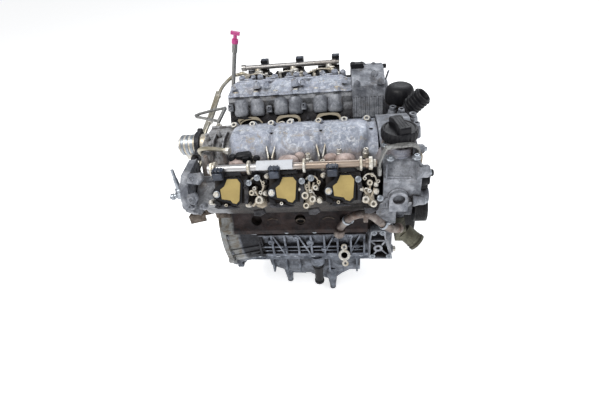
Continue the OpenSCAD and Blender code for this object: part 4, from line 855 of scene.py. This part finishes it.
def caps():
    # oil filler cap: ribbed rim, shallow dish and a tapered grip bar
    k = Kit("filler_cap_body", "black", "filler_cap", bevel=0.0, smooth=32)
    n = 96
    m = at(417, -230, 0)
    rr = []
    for r, z, w in ((17, 347, 0), (21.5, 347, 0), (21.5, 361.5, 0), (30.5, 362.2, 0), (32.4, 363.4, 0.5), (33, 366, 1), (33, 376, 1), (32.2, 379.6, 0.7), (30.4, 381.8, 0.2), (28, 382, 0), (26.6, 380.8, 0), (20, 380.4, 0), (8, 380.6, 0)):
        rr.append([((r + w * 0.75 * math.copysign(1, math.cos(24 * 2 * math.pi * j / n)) * (1 if w else 0)) * math.cos(2 * math.pi * j / n),
                    (r + w * 0.75 * math.copysign(1, math.cos(24 * 2 * math.pi * j / n)) * (1 if w else 0)) * math.sin(2 * math.pi * j / n), z) for j in range(n)])
    k.rings(rr, True, m)
    k.done(("oil_filler_cap",))
    k = Kit("filler_cap_grip", "black", "filler_cap", bevel=1.6, seg=3)
    m = at(417, -230, 0) @ R("Z", 14)
    k.prism([(-10, -27.5), (10, -27.5), (13, -22), (9.5, 0), (13, 22), (10, 27.5), (-10, 27.5), (-13, 22), (-9.5, 0), (-13, -22)], 379.5, 393.4, m, 2.6)
    for s in (-1, 1):
        for i in range(4):
            k.prism([(s * 5.2 * (i - 1.5) - 0.9, -20), (s * 5.2 * (i - 1.5) + 0.9, -20), (s * 5.2 * (i - 1.5) + 0.9, 20), (s * 5.2 * (i - 1.5) - 0.9, 20)] if s > 0 else [(-1, -24), (1, -24), (1, -22), (-1, -22)], 392, 393.9, m, 0.3)
    k.done()
    # oil filter cap: squat dome with a soft shoulder
    k = Kit("filter_cap_dome", "black", "filter_cap", bevel=0.0, smooth=32)
    n = 108
    rr = []
    for r, z, w in ((23, 301, 0), (26.6, 300.5, 0), (26.6, 316.6, 0), (31.6, 317, 0), (32.6, 318.6, 0.3), (32.8, 322, 0.9), (32.6, 336, 0.9), (32.0, 342, 0.5), (30.4, 347.4, 0), (27.2, 351.6, 0), (22, 354.6, 0), (14, 356.6, 0), (6, 357.4, 0)):
        rr.append([((r + (w if (j // 3) % 2 else 0)) * math.cos(2 * math.pi * j / n), (r + (w if (j // 3) % 2 else 0)) * math.sin(2 * math.pi * j / n), z) for j in range(n)])
    k.rings(rr, True, at(450, 18, 0))
    k.done(("oil_filter_cap",))
    # ribbed coolant connector
    k = Kit("coolant_connector_ribs", "black", bevel=0.0, smooth=38)
    m = frame_at((468, -36, 324), (0.62, -0.2, 0.76))
    prof = [(14, 0.3), (18.5, 0.3)]
    for i in range(5):
        b = 3 + i * 7.8
        prof += [(18.4, b), (21.2, b + 1.0), (21.8, b + 2.2), (21.2, b + 3.6), (18.4, b + 4.6)]
    prof += [(18.2, 40.8), (17.4, 41.8), (14.6, 41.8), (14, 40.8), (13.6, 14), (3, 13)]
    k.lathe(prof, m, 44)
    k.done(("coolant_connector",))


def left_end():
    k = Kit("fuel_line_long", "pipe", smooth=60)
    k.tube([[44, 219, 324], [30, 219, 332], [14, 217, 330], [-1, 212, 328], [-28, 178, 311], [-35, 125, 292], [-41, 80, 272], [-48, 40, 260],
            [-46, -30, 252], [-34, -70, 247], [-28, -110, 244], [-28, -165, 241], [-26, -205, 241], [-27, -230, 245], [-27, -236.6, 252]], 5.0, 18, 8)
    k.done(("fuel_pipe_long",))
    k = Kit("fuel_lines_short", "pipe", smooth=60)
    k.tube([[-44, 176, 300], [-48, 140, 286], [-54, 96, 268], [-60, 46, 252], [-60, 0, 240], [-54, -50, 234], [-46, -78, 238]], 4.1, 18, 8)
    k.tube([[8, -118, 262], [8, -152, 286], [8, -176, 318], [30, -194, 334], [62, -206, 338], [84, -214, 338]], 4.4, 18, 8)
    k.done(("fuel_pipe_short",))
    k = Kit("line_nuts", "zinc", bevel=0.4)
    k.lathe([(7.6, 0), (8.0, 1), (8.0, 9), (7.0, 10), (5.6, 11), (5.6, 15)], frame_at((47, 219, 321), (-0.9, 0, 0.5)), 6)
    k.lathe([(7.4, 0), (7.8, 1), (7.8, 8), (5.4, 9), (5.4, 13)], frame_at((88, -215, 338), (-1, 0.3, 0)), 6)
    k.lathe([(7.4, 0), (7.8, 1), (7.8, 8), (5.4, 9), (5.4, 12)], frame_at((-27, -239, 254), (0, 0.7, -0.7)), 6)
    for p, d in (((-33, 150, 300), (-0.1, -0.6, -0.25)), ((-42, 60, 266), (-0.15, -1, -0.3)), ((-30, -96, 245), (0.1, -1, 0))):
        k.lathe([(5.2, 0), (6.4, 0.8), (6.4, 6.2), (5.2, 7)], frame_at(p, d), 20)
    k.done()
    k = Kit("banjo_eye", "steel", smooth=40)
    k.ring(9.6, 4.0, 252, 268, at(-27, -250, 0), 26, 1.2)
    k.lathe([(7.6, 268), (8.4, 269), (8.4, 274), (6.2, 275), (5.2, 276), (4.4, 300), (3.4, 302), (3.4, 321), (2.4, 322)], at(-27, -250, 0), 22)
    k.lathe([(5.6, 0), (5.6, 10), (7.0, 11), (7.0, 17), (4.4, 18), (3.6, 20)], frame_at((-30, -251, 259), (-0.93, -0.3, -0.12)), 22)
    k.done(("banjo_fitting",))
    # lifting eye bent from flat bar
    k = Kit("lifting_eye_bar", "tube", bevel=0.9)
    pts = [(18, 30), (-14, 20), (-44, 4), (-51, -4), (-46, -12), (-14, -26), (18, -42)]
    for (ax, ay), (bx, by) in zip(pts, pts[1:]):
        d = Vector((bx - ax, by - ay)).normalized()
        e = d * 2.6
        w = Vector((-d.y, d.x)) * 3.4
        k.prism([(ax - e.x - w.x, ay - e.y - w.y), (bx + e.x - w.x, by + e.y - w.y), (bx + e.x + w.x, by + e.y + w.y), (ax - e.x + w.x, ay - e.y + w.y)], 314.3, 319.6, Matrix.Identity(4), 0.8)
    k.box((13, -46, 312), (20, 34, 320), Matrix.Identity(4), 1.2)
    k.done(("lifting_eye",))
    # the high pressure pump's ribs, bolts and dark flange
    k = Kit("pump_turnings", "steel", smooth=38)
    m = at(0, -117.4, 299.4) @ R("Y", 90)
    k.lathe([(12, -56.5), (17, -56.2), (19.4, -54.6), (19.6, -51), (23.4, -50), (23.8, -47), (23.8, -44), (22.2, -43), (22.2, -40), (23.8, -39), (23.8, -33), (22.2, -32), (22.2, -29), (23.8, -28), (23.8, -22)], m, 44)
    for a in (30, 100, 170, 240, 310):
        t = math.radians(a)
        k.lathe([(3.6, 0), (3.6, 3), (2.8, 3.8), (1.6, 3.8), (1.5, 2.4)], at(-55.8, -117.4 + 13 * math.cos(t), 299.4 + 13 * math.sin(t)) @ R("Y", -90), 6)
    k.done()
    k = Kit("pump_flange", "darkalloy", bevel=0.8, smooth=38)
    k.lathe([(24.5, -16.4), (29.4, -16.2), (30.2, -14.6), (30.2, -6), (29.2, -4.8), (24, -4.6)], m, 44)
    for a in (60, 180, 300):
        t = math.radians(a)
        k.lathe([(7, -14), (7, -5), (6, -4.4)], at(0, -117.4 + 30 * math.cos(t), 299.4 + 30 * math.sin(t)) @ R("Y", 90), 20)
    k.box((-36, -128, 262), (-12, -104, 278), Matrix.Identity(4), 3)
    k.lathe([(8, 0), (8, 9), (6.4, 10), (4.4, 16)], at(-26, -134, 276) @ R("X", 100), 20)
    k.done()
    # rear face of the near head: bosses and studs
    k = Kit("head_rear_bosses", "alloy", bevel=0.6)
    for y, z, r in ((-214, 300, 11), (-268, 300, 10), (-284, 262, 11), (-206, 238, 12), (-168, 250, 9), (-246, 226, 10)):
        k.lathe([(r, 12), (r, 5), (r * 0.86, 2), (r * 0.8, 0.6)], at(0, y, z) @ R("Y", 90), 22)
        k.lathe([(r * 0.5, 1), (r * 0.5, -4), (r * 0.4, -5), (r * 0.2, -5)], at(0, y, z) @ R("Y", 90), 6)
    k.done()
    # rear bracket: bolts, ring lug and a stud
    k = Kit("rear_bracket_bolts", "steel", bevel=0.0)
    k.bolt(at(30, -204, 183.4), 6.0, 6.5)
    k.bolt(at(16, -200, 183.4) @ R("X", 12), 5.0, 5.5)
    k.ring(8.6, 3.8, 0, 5, at(6, -220.2, 217) @ R("X", 90), 24, 0.8)
    k.lathe([(5.5, 0), (5.5, 16), (4.6, 17)], at(-20, -222, 163), 18)
    k.done()


def near_front():
    k = Kit("near_front_bosses", "alloy", bevel=0.0)
    for y, z, r, x1 in ((-268, 306, 15.4, 469), (-272, 258, 15.4, 470.5), (-300, 330, 9, 460), (-304, 270, 8, 458), (-246, 344, 9, 459), (-198, 300, 10, 458), (-210, 254, 9, 458), (-168, 330, 9, 458)):
        m = at(x1, y, z) @ R("Y", 90)
        k.lathe([(r * 1.35, -20), (r * 1.1, -12), (r, -9), (r, -1.4), (r * 0.9, -0.2)], m, 30)
        k.ring(r * 0.92, r * 0.5, -1.5, 1.2, m, 30, 0.7)
    # arch boss and ledges on the outboard face
    m = at(412, -296, 276) @ R("X", 90)
    k.ring(18.5, 11.2, -3, 4.6, m, 40, 1.4)
    k.lathe([(10.6, -6), (10.6, -1.5), (7, -2.2), (3, -2.2)], m, 28)
    for dx, dz in ((-19, -8), (19, -8)):
        k.lathe([(6.4, -6), (6.4, 3.2), (5.4, 4)], m @ at(dx, dz, 0), 20)
    k.prism([(391, 316), (434, 314), (434, 318), (391, 320)], 0, 3.6, at(0, -292, 0) @ R("X", 90), 1)
    k.prism([(388, 246), (392, 246), (392, 344), (388, 344)], 0, 5.0, at(0, -290, 0) @ R("X", 90), 1.2)
    k.prism([(446, 250), (450, 250), (450, 344), (446, 344)], 0, 4.0, at(0, -291, 0) @ R("X", 90), 1.2)
    k.done()
    k = Kit("near_front_screws", "steel", bevel=0.0)
    for x, y, z in ((396, -284, 352), (441, -284, 352), (398, -188, 349), (441, -184, 349), (392, -240, 352)):
        k.bolt(at(x, y, z), 5.2, 5)
    for y, z in ((-300, 330), (-304, 270), (-246, 344)):
        k.bolt(at(460.5, y, z) @ R("Y", 90), 4.6, 5)
    k.done()
    k = Kit("near_front_plugs", "black", bevel=0.8)
    k.lathe([(8.4, 0), (9.4, 1), (9.4, 9), (7.8, 10.5), (7.8, 15), (6, 16)], at(452.4, -283, 300) @ R("Y", 90), 24)
    k.lathe([(6.5, 0), (6.5, 6), (5, 7)], at(470.4, -268, 306) @ R("Y", 90), 20)
    k.done()
    k = Kit("near_front_tab", "plastic_tan", bevel=0.8)
    k.box((452.2, -266, 318), (456, -246, 342), Matrix.Identity(4), 1)
    k.done()
    # filler neck and its collar
    k = Kit("filler_neck_collar", "cover", bevel=0.0)
    k.ring(31.5, 23, 336, 353, at(417, -230, 0), 44, 1.6)
    k.ring(27, 22.4, 352, 361.2, at(417, -230, 0), 44, 1.0)
    k.lathe([(40, 322), (36, 332), (32, 338)], at(417, -230, 0), 44)
    k.done()
    # parts between the filler cap and the filter housing
    k = Kit("front_top_fittings", "alloy", bevel=0.8)
    for x, y, z, r in ((430, -30, 322, 9), (448, -44, 322, 9), (414, -74, 322, 10), (466, -84, 330, 9), (470, -112, 322, 8), (398, -122, 330, 8)):
        k.lathe([(r * 1.5, -30), (r * 1.2, -8), (r, -4)], at(x, y, z), 24)
        k.ring(r * 0.9, r * 0.42, -4, 3.6, at(x, y, z), 24, 0.8)
    k.box((420, -70, 286), (462, -30, 312), Matrix.Identity(4), 4)
    k.box((440, -120, 288), (470, -84, 316), Matrix.Identity(4), 4)
    k.done()


def block_bits():
    # water jacket openings with rust-red rims, in the channel
    k = Kit("jacket_rims", "rust", bevel=0.4)
    for x, w in ((141, 11), (208, 8), (275, 12)):
        for s in (-1, 1):
            m = at(x, s * 186.5, 118) @ R("X", 90 if s < 0 else -90) @ R("X", 0)
            k.ring(w + 3.2, w - 0.8, -8, 1.2, m @ Matrix.Diagonal((1.15, 0.8, 1, 1)), 30, 0.8)
    k.done()
    k = Kit("jacket_plugs", "blackmetal", bevel=0.0)
    for x, w in ((141, 11), (208, 8), (275, 12)):
        for s in (-1, 1):
            m = at(x, s * 186.5, 118) @ R("X", 90 if s < 0 else -90)
            k.lathe([(w, -9), (w, -3), (w * 0.82, -5), (w * 0.3, -5.4)], m @ Matrix.Diagonal((1.15, 0.8, 1, 1)), 26)
    k.done()
    k = Kit("skirt_castings", "block", bevel=1.0)
    for s in (-1, 1):
        def rib(x0, z0, x1, z1, w, y0, y1):
            d = Vector((x1 - x0, z1 - z0)).normalized() * w
            q = [(x0 - d.y, z0 + d.x), (x0 + d.y, z0 - d.x), (x1 + d.y, z1 - d.x), (x1 - d.y, z1 + d.x)]
            k.rings([[(x, s * y0, z) for x, z in q], [(x, s * (y1 - 0.8), z) for x, z in q], [(x * 0.5 + (x0 + x1) * 0.25 + (x - (x0 + x1) / 2) * 0.48, s * y1, z) for x, z in q]])
        # long ledge lines and cross ribs
        for z, y in ((82, 199), (64, 169), (-14, 158.5)):
            rib(96, z, 362, z + 0.5, 1.9, 150, y)
        for x0, x1 in ((152, 120), (220, 186), (256, 290), (324, 356)):
            rib(x0, -22, x1, 60, 2.2, 148, 164)
        for x, z, r in ((120, 26, 9), (186, 40, 8), (222, 22, 10), (289, 34, 8), (324, 44, 9), (154, -2, 7), (256, -4, 7), (342, 8, 8)):
            m = at(x, s * 150, z) @ R("X", -90 * s)
            k.lathe([(r * 1.25, 0), (r, 8), (r, 15.5), (r * 0.88, 16.5)], m, 22)
            k.ring(r * 0.9, r * 0.48, 15.5, 18, m, 22, 0.7)
    k.done()
    # machined fittings on the ledge at the rear
    k = Kit("ledge_fittings", "alloy", bevel=0.7)
    for x, y, z, w in ((34, -168, 90, 9), (52, -172, 88, 7), (74, -178, 88, 10), (98, -182, 87, 8)):
        k.box((x - w, y - 9, z - 8), (x + w, y + 12, z + 7), Matrix.Identity(4), 2)
        k.ring(4.4, 2.0, 7, 9.6, at(x, y - 1, z), 20, 0.6)
    k.prism([(20, -176), (112, -192), (112, -186), (20, -168)], 76, 84, Matrix.Identity(4), 1.5)
    k.done()
    k = Kit("ledge_bolts", "steel", bevel=0.0)
    for x, y, z in ((14, -166, 104), (44, -176, 92), (120, -190, 92), (172, -192, 91), (240, -192, 91), (304, -192, 91)):
        k.bolt(at(x, y, z), 5.0, 5)
    k.done()
    k = Kit("bell_bosses", "alloy", bevel=0.5)
    for y, z in ((-162, 108), (162, 108), (-178, 60), (178, 60), (-172, 0), (172, 0), (-60, 214), (60, 214)):
        r = math.hypot(y, z - 36)
        q = 176 / r
        k.lathe([(9, 0), (9, 3.4), (8, 4.2), (4.8, 4.2), (4.6, 1)], at(12.5, y * q, 36 + (z - 36) * q) @ R("Y", 90), 24)
    k.done()
    # stiffening rings of the conical housing
    k = Kit("cone_ribs", "block", bevel=0.9)
    for a in (196, 208, 222, 236, 304, 318, 332, 344, 188, 352):
        t = math.radians(a)
        c, s_ = math.cos(t), math.sin(t)
        zz = 36 + 178 * s_
        if zz < -46:
            continue
        u = Vector((0, -s_, c)) * 1.8
        p0, p1 = Vector((13, 183 * c, 36 + 183 * s_)), Vector((94, 166.5 * c, 36 + 166.5 * s_))
        i0, i1 = Vector((13, 172 * c, 36 + 172 * s_)), Vector((94, 156 * c, 36 + 156 * s_))
        k.rings([[p0 - u, p0 + u, i0 + u, i0 - u], [p1 - u, p1 + u, i1 + u, i1 - u]])
    k.done()


def low_bits():
    # sump: flange bolts
    k = Kit("sump_flange_bolts", "steel", bevel=0.0)
    for s in (-1, 1):
        for x in (36, 80, 130, 178, 226, 274, 322, 352):
            k.bolt(at(x, s * 152.5, -36) @ R("X", 0), 4.6, 4)
    k.done()
    k = Kit("outlet_studs", "zinc", bevel=0.0)
    m = at(309, -148, -30) @ R("X", 60)
    k.ring(15.2, 8.2, 33.5, 35.2, m, 34, 0.6)
    for x, y in ((0, 22), (2, -22)):
        k.ring(8.2, 3.2, 32.6, 34.8, m @ at(x, y, 0), 26, 0.6)
    k.done()
    k = Kit("sensor_ribs", "black", bevel=0.0)
    k.lathe([(13.5, -92), (15.6, -93), (15.6, -100), (13.6, -101), (13.6, -104), (15.6, -105), (15.6, -112), (13.6, -113)][::-1], at(233, -130, 0), 34)
    k.lathe([(13.4, -176), (14.2, -175), (14.2, -168), (12.6, -167)], at(233, -130, 0), 34)
    k.done()
    # bracket face: bolts
    k = Kit("bracket_bolts", "steel", bevel=0.0)
    for x, z in ((378, 12), (418, 12), (380, 92), (400, 92)):
        k.bolt(at(x, -205.4, z) @ R("X", 90), 4.8, 5)
    k.done()
    # clamp and coupling on the coolant pipe
    k = Kit("coolant_pipe_run", "copper", bevel=0.0, smooth=60)
    k.tube([(303, -216, 122), (306, -226, 138), (313, -238, 158), (325, -247, 180), (345, -251, 193), (368, -249, 187), (388, -242, 162), (404, -234, 140), (420, -226, 124), (437, -214, 116)], [9, 8.8, 8.6, 8.6, 8.6, 8.6, 8.6, 8.6, 9, 9.6], 22, 8)
    k.lathe([(11, -2), (12.6, -1), (12.6, 13), (11.4, 14), (9, 15)], frame_at((299, -218.6, 103), (0.15, 0.09, 0.98)), 26)
    k.ring(10.8, 8.2, -6, 0, frame_at((299, -218.6, 105), (0.15, 0.09, 0.98)), 26, 0.6)
    k.lathe([(9.4, 0), (11.4, 1), (11.4, 7), (9.4, 8)], frame_at((431, -218, 119), (0.8, 0.5, -0.33)), 26)
    k.box((352, -261, 178), (362, -243, 201), Matrix.Identity(4), 2)
    k.done(("coolant_pipe",))
    k = Kit("coolant_pipe_clamps", "steel", bevel=0.4)
    for p, d in (((318, -243, 169), (0.45, -0.35, 0.8)), ((396, -239, 150), (0.55, 0.25, -0.75))):
        k.ring(10.6, 8.4, -3.5, 3.5, frame_at(p, d), 26, 0.5)
        k.bolt(frame_at(p, d) @ at(11.5, 0, 0) @ R("X", 90), 3.4, 4)
    k.done()
    k = Kit("strap_bar", "tube", bevel=0.7)
    pts = [(378, -284, 330), (378, -284, 346), (384, -279, 357), (390, -273, 366), (410, -270.5, 368.5), (432, -268, 368), (441, -264.5, 363), (448, -262, 356), (449, -261, 345)]
    rr = []
    for i, p in enumerate(pts):
        a, b = Vector(pts[max(i - 1, 0)]), Vector(pts[min(i + 1, len(pts) - 1)])
        t = (b - a).normalized()
        w = Vector((0, 1, 0)) if abs(t.y) < 0.8 else Vector((1, 0, 0))
        n_ = t.cross(w).normalized()
        w = n_.cross(t).normalized()
        c = Vector(p)
        rr.append([c + w * 6 + n_ * 1.8, c - w * 6 + n_ * 1.8, c - w * 6 - n_ * 1.8, c + w * 6 - n_ * 1.8])
    k.rings(rr)
    k.box((374.4, -296, 322), (381.4, -272, 336), Matrix.Identity(4), 1.5)
    k.box((445, -264, 339.6), (452, -250, 348), Matrix.Identity(4), 1.2)
    k.done(("strap_bracket",))
    # grooved rim of the pump wheel
    k = Kit("neck_lip", "neck", bevel=0.0)
    m = frame_at((484, -195, 48), (0.76, -0.355, -0.59))
    k.ring(21.8, 16.2, -5.5, -0.2, m, 34, 1.2)
    k.ring(20.8, 16.4, -14, -10, m, 34, 0.8)
    k.done()


caps()
left_end()
near_front()
block_bits()
low_bits()


def more_castings():
    """Webs, pads and bosses along the open castings."""
    # near head, rear end: ribbed end of the tower
    k = Kit("head_near_end_webs", "alloy", bevel=0.9)
    m = port_m(52)
    k.prism([(-34, -36), (-8, -38), (-4, -26), (-14, -14), (-36, -18)], -6, 5, m, 2)
    k.prism([(-38, 4), (-22, 0), (-16, 12), (-22, 25), (-36, 22)], -8, 2.6, m, 2)
    for x, s, r in ((-26, -26, 7), (-28, 14, 7), (-10, 34, 6), (-34, 34, 5.0)):
        h = 0 if s < 20 else -8
        k.lathe([(r * 1.3, -8), (r, 0), (r, 4.6), (r * 0.85, 5.4)], m @ at(x, s if s < 20 else s - 6, h), 22)
        k.ring(r * 0.8, r * 0.4, 4.6, 7, m @ at(x, s if s < 20 else s - 6, h), 22, 0.5)
    k.done()
    # pads between and under the ports
    k = Kit("tower_pads", "darkalloy", bevel=0.9)
    for i, x in enumerate((102, 208, 314)):
        m = port_m(x)
        k.prism([(-30, 22), (-18, 24), (4, 29), (14, 31), (8, 33.4), (-28, 33.4), (-36, 30)], -10, -1.2, m, 1.4)
        k.prism([(24, -20), (31, -24), (34, 4), (30, 26), (24, 22)], -10, 1.0, m, 1.6)
        for dx, dy, h, r in ((-24, 28, -1.6, 4.2), (28, -6, 0.6, 4)):
            k.ring(r, r * 0.45, h, h + 2.0, m @ at(dx, dy, 0), 20, 0.5)
    k.done()
    k = Kit("tower_small_fixings", "zinc", bevel=0.0)
    for x, s, r in ((60, 20, 4.2), (131, 27, 4.0), (166, 6, 4.0), (170, -26, 4.2), (232, 0, 4.0), (268, 22, 4.4), (276, -24, 4.0), (345, 4, 4.4), (372, -4, 4.0), (372, 8, 4.6)):
        mm = port_m(x) @ at(0, s, -8 if s > 24 else -4)
        k.lathe([(r * 1.5, -12), (r * 1.2, -1.5), (r, 0), (r, 3.2), (r * 0.8, 4)], mm, 18)
        k.lathe([(r * 0.62, 3), (r * 0.62, 6), (r * 0.45, 6.6)], mm, 6)
    k.done()
    # ribs on the head's sloping flank under the ports
    k = Kit("head_flank_ribs", "darkalloy", bevel=0.8)
    for near in (True, False):
        s = -1 if near else 1
        x0 = 20
        while x0 < 372:
            q = [pl(84, 214), pl(70, 230), pl(70, 222), pl(80, 208)]
            k.rings([[(x, s * y, z) for y, z in q] for x in (x0, x0 + 3)])
            x0 += 17.7
    k.done()
    # posts on the far cover in front of the far rail
    k = Kit("far_cover_posts", "cover", bevel=0.0)
    for x, y, z, r in ((36, 176, 330, 9), (66, 186, 326, 7), (88, 178, 330, 8), (128, 184, 326, 9), (168, 186, 326, 8), (190, 178, 330, 9), (214, 186, 326, 7), (262, 184, 326, 8), (296, 178, 330, 9), (318, 184, 326, 8)):
        k.lathe([(r * 1.5, -22), (r * 1.15, -8), (r, 0), (r, 7), (r * 0.82, 8.4)], at(x, y, z), 22)
        k.ring(r * 0.72, r * 0.36, 8, 10.4, at(x, y, z), 22, 0.5)
    k.done()
    k = Kit("far_cover_webs", "cover", bevel=0.8)
    for x0, x1 in ((30, 74), (96, 140), (150, 196), (206, 240), (252, 306)):
        k.prism([(x0, 150), (x1, 146), (x1 + 4, 152), (x0 + 3, 158)], 326, 336.5, Matrix.Identity(4), 2.2)
        k.prism([(x0 + 8, 168), (x1 - 8, 170), (x1 - 9, 175), (x0 + 7, 174)], 322, 334, Matrix.Identity(4), 2)
    k.done()
    # slender black leads lying in the valley and behind the cover
    k = Kit("valley_leads", "blackmetal", bevel=0.0)
    k.tube([(22, 60, 268), (60, 52, 274), (110, 20, 268), (128, -16, 264), (180, -20, 268), (228, 10, 266), (300, -8, 266), (336, 20, 268)], 3.2, 10, 8)
    k.tube([(24, 232, 300), (60, 240, 307), (104, 236, 306), (150, 240, 309), (204, 236, 305), (250, 240, 309), (304, 236, 304)], 2.6, 10, 8)
    k.done()


more_castings()


def last_details():
    k = Kit("head_near_rear_casting", "alloy", bevel=2.2, seg=3)
    m = Matrix(((0, 0, 1, 0), (1, 0, 0, 0), (0, 1, 0, 0), (0, 0, 0, 1)))
    k.prism([(-205, 232), (-205, 316), (-262, 316), (-284, 300), (-296, 276), (-292, 246), (-268, 218), (-228, 206)][::-1], -7, 11, m, 3)
    for y, z, r in ((-226, 292, 12), (-268, 292, 10), (-280, 256, 11), (-240, 232, 12), (-228, 262, 9)):
        k.lathe([(r * 1.2, 0), (r, 3), (r * 0.9, 6), (r * 0.5, 6.4)], at(-6, y, z) @ R("Y", -90), 24)
    k.done()
    k = Kit("cover_near_rear_posts", "cover", bevel=0.6)
    for x, y, h in ((24, -150, 346), (36, -178, 338), (47, -140, 346), (58, -172, 342), (68, -196, 330), (30, -205, 326)):
        k.lathe([(6.2, 300), (4.8, h - 14), (4.4, h - 4), (3.6, h - 2)], at(x, y, 0), 16)
    for x in (41, 63):
        k.rings([[(x - 1.5, y, z) for y, z in ((-110, 322), (-135, 338), (-168, 338), (-196, 322), (-196, 306), (-110, 306))], [(x + 1.5, y, z) for y, z in ((-110, 322), (-135, 338), (-168, 338), (-196, 322), (-196, 306), (-110, 306))]])
    k.done()
    # taller posts on the far cover's valley side
    k = Kit("far_valley_posts", "cover", bevel=0.0)
    for x, y, h, r in ((91, 104, 350, 9), (193, 104, 352, 9), (28, 100, 344, 7), (116, 108, 346, 7), (214, 106, 348, 7), (322, 104, 346, 8)):
        k.lathe([(r * 1.25, 336), (r * 1.12, 337), (r, h - 3), (r * 0.86, h - 1.4)], at(x, y, 0), 24)
        k.ring(r * 0.84, r * 0.42, h - 2, h + 0.6, at(x, y, 0), 24, 0.5)
    k.done()
    # dark parts filling the space under the far rail
    k = Kit("far_rail_clutter", "blackmetal", bevel=1.0)
    k.box((30, 226, 276), (306, 242, 300), Matrix.Identity(4), 3)
    for x, w, z in ((52, 12, 314), (68, 7, 320), (108, 10, 318), (122, 8, 308), (146, 11, 316), (160, 7, 322), (206, 9, 318), (226, 9, 314), (244, 8, 320), (270, 8, 316), (296, 9, 320)):
        k.box((x - w, 228, 290), (x + w, 244, z), Matrix.Identity(4), 2.4)
        k.lathe([(w * 0.6, 0), (w * 0.6, 5), (w * 0.4, 7), (w * 0.25, 9)], at(x, 236, z - 2), 18)
    k.done()
    k = Kit("far_rail_bright", "zinc", bevel=0.0)
    for x, y, z in ((40, 222, 318), (60, 222, 312), (98, 222, 322), (138, 222, 324), (172, 222, 326), (200, 222, 320), (236, 222, 324), (256, 222, 318), (288, 222, 322)):
        k.lathe([(5.0, -30), (4.2, -6), (3.6, -4), (3.6, 0), (5.0, 1.2), (5.0, 5), (3.8, 6)], at(x, y, z), 20)
    k.tube([(30, 226, 318), (70, 228, 326), (112, 226, 316), (156, 228, 328), (210, 226, 318), (254, 228, 328), (300, 226, 320)], 1.9, 10, 8)
    k.done()
    # small pale rings and hooks among the port castings
    k = Kit("port_small_rings", "zinc", bevel=0.0)
    for x, s, r in ((146, -4, 3.8), (163, -14, 3.4), (158, 4, 3.6), (246, -6, 3.4), (268, -12, 3.6), (252, 4, 3.4), (352, -16, 3.6), (366, -22, 3.4), (360, 6, 3.8), (376, -10, 3.4), (90, 26, 3.2), (197, 26, 3.2), (303, 26, 3.2)):
        mm = port_m(x) @ at(0, s, -3.5) @ R("X", (x * 5) % 30 - 15)
        k.ring(r, r * 0.45, -2, 3, mm, 18, 0.5)
        k.lathe([(r * 0.9, -16), (r * 0.8, -2), (r * 0.44, -1.8)], mm, 16)
    for x in (150, 256, 362):
        m2 = port_m(x)
        k.tube([m2 @ Vector(p) for p in ((-12, -18, -4), (-4, -24, 0), (8, -20, -2), (12, -6, -6))], 1.5, 8, 6)
        k.tube([m2 @ Vector(p) for p in ((-14, 8, -6), (-8, 2, -3), (0, 6, -4), (4, 14, -8))], 1.4, 8, 6)
    k.done()


last_details()


# ------------------------------------------------------------------ stage
def stage():
    me = bpy.data.meshes.new("floor")
    s = 30.0
    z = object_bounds()[0][2]
    me.from_pydata([(-s, -s, z), (s, -s, z), (s, s, z), (-s, s, z)], [], [(0, 1, 2, 3)])
    fl = bpy.data.objects.new("floor", me)
    bpy.context.collection.objects.link(fl)
    t = NT("m_floor")
    c = t.mix(t.noise(0.6, 2), (0.90, 0.90, 0.90), (0.93, 0.93, 0.93))
    me.materials.append(t.done(c, 0.75, None, 0.0, 0.1))
    t.bsdf.inputs["Emission Color"].default_value = (1, 1, 1, 1)
    t.bsdf.inputs["Emission Strength"].default_value = 0.62
    fl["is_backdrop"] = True
    w = bpy.data.worlds.new("studio")
    bpy.context.scene.world = w
    w.use_nodes = True
    bg = w.node_tree.nodes["Background"]
    bg.inputs[0].default_value = (0.95, 0.97, 1.0, 1)
    bg.inputs[1].default_value = 0.36

    def area(name, loc, target, size, power, col=(1, 1, 1)):
        li = bpy.data.lights.new(name, "AREA")
        li.shape = "RECTANGLE"
        li.size, li.size_y = size
        li.energy = power
        li.color = col
        o = bpy.data.objects.new(name, li)
        o.location = loc
        o.rotation_euler = (Vector(target) - Vector(loc)).to_track_quat("-Z", "Y").to_euler()
        bpy.context.collection.objects.link(o)

    area("key", (-0.6, -1.1, 2.6), (0.22, 0, 0.1), (1.6, 1.2), 54, (1.0, 0.985, 0.96))
    area("back", (0.8, 2.0, 2.0), (0.22, 0, 0.2), (1.8, 0.9), 30, (0.93, 0.96, 1.0))
    area("fill", (2.2, -1.4, 0.9), (0.22, 0, 0.1), (1.2, 1.2), 9, (0.95, 0.97, 1.0))
    area("front", (0.2, -2.6, 0.9), (0.22, 0, 0.0), (2.0, 0.8), 6, (1, 1, 1))


stage()


# ------------------------------------------------------------------ camera
def camera():
    f, W = 382.0, 600.0
    yaw, pitch, roll = (math.radians(a) for a in (-8.83, 38.96, 7.16))
    cy, sy, cp, sp = math.cos(yaw), math.sin(yaw), math.cos(pitch), math.sin(pitch)
    fwd = Vector((sy * cp, cy * cp, -sp))
    right = Vector((cy, -sy, 0.0))
    down = fwd.cross(right)
    cr, sr = math.cos(roll), math.sin(roll)
    r2 = cr * right + sr * down
    d2 = -sr * right + cr * down
    m = Matrix((r2, -d2, -fwd)).transposed().to_4x4()
    m.translation = Vector((0.317, -0.856, 0.731))
    cam = bpy.data.cameras.new("camera")
    cam.sensor_width = 36.0
    cam.lens = f / W * 36.0
    cam.clip_start = 0.02
    o = bpy.data.objects.new("camera", cam)
    o.matrix_world = m
    bpy.context.collection.objects.link(o)
    bpy.context.scene.camera = o


camera()
bpy.context.scene.view_settings.view_transform = "Standard"
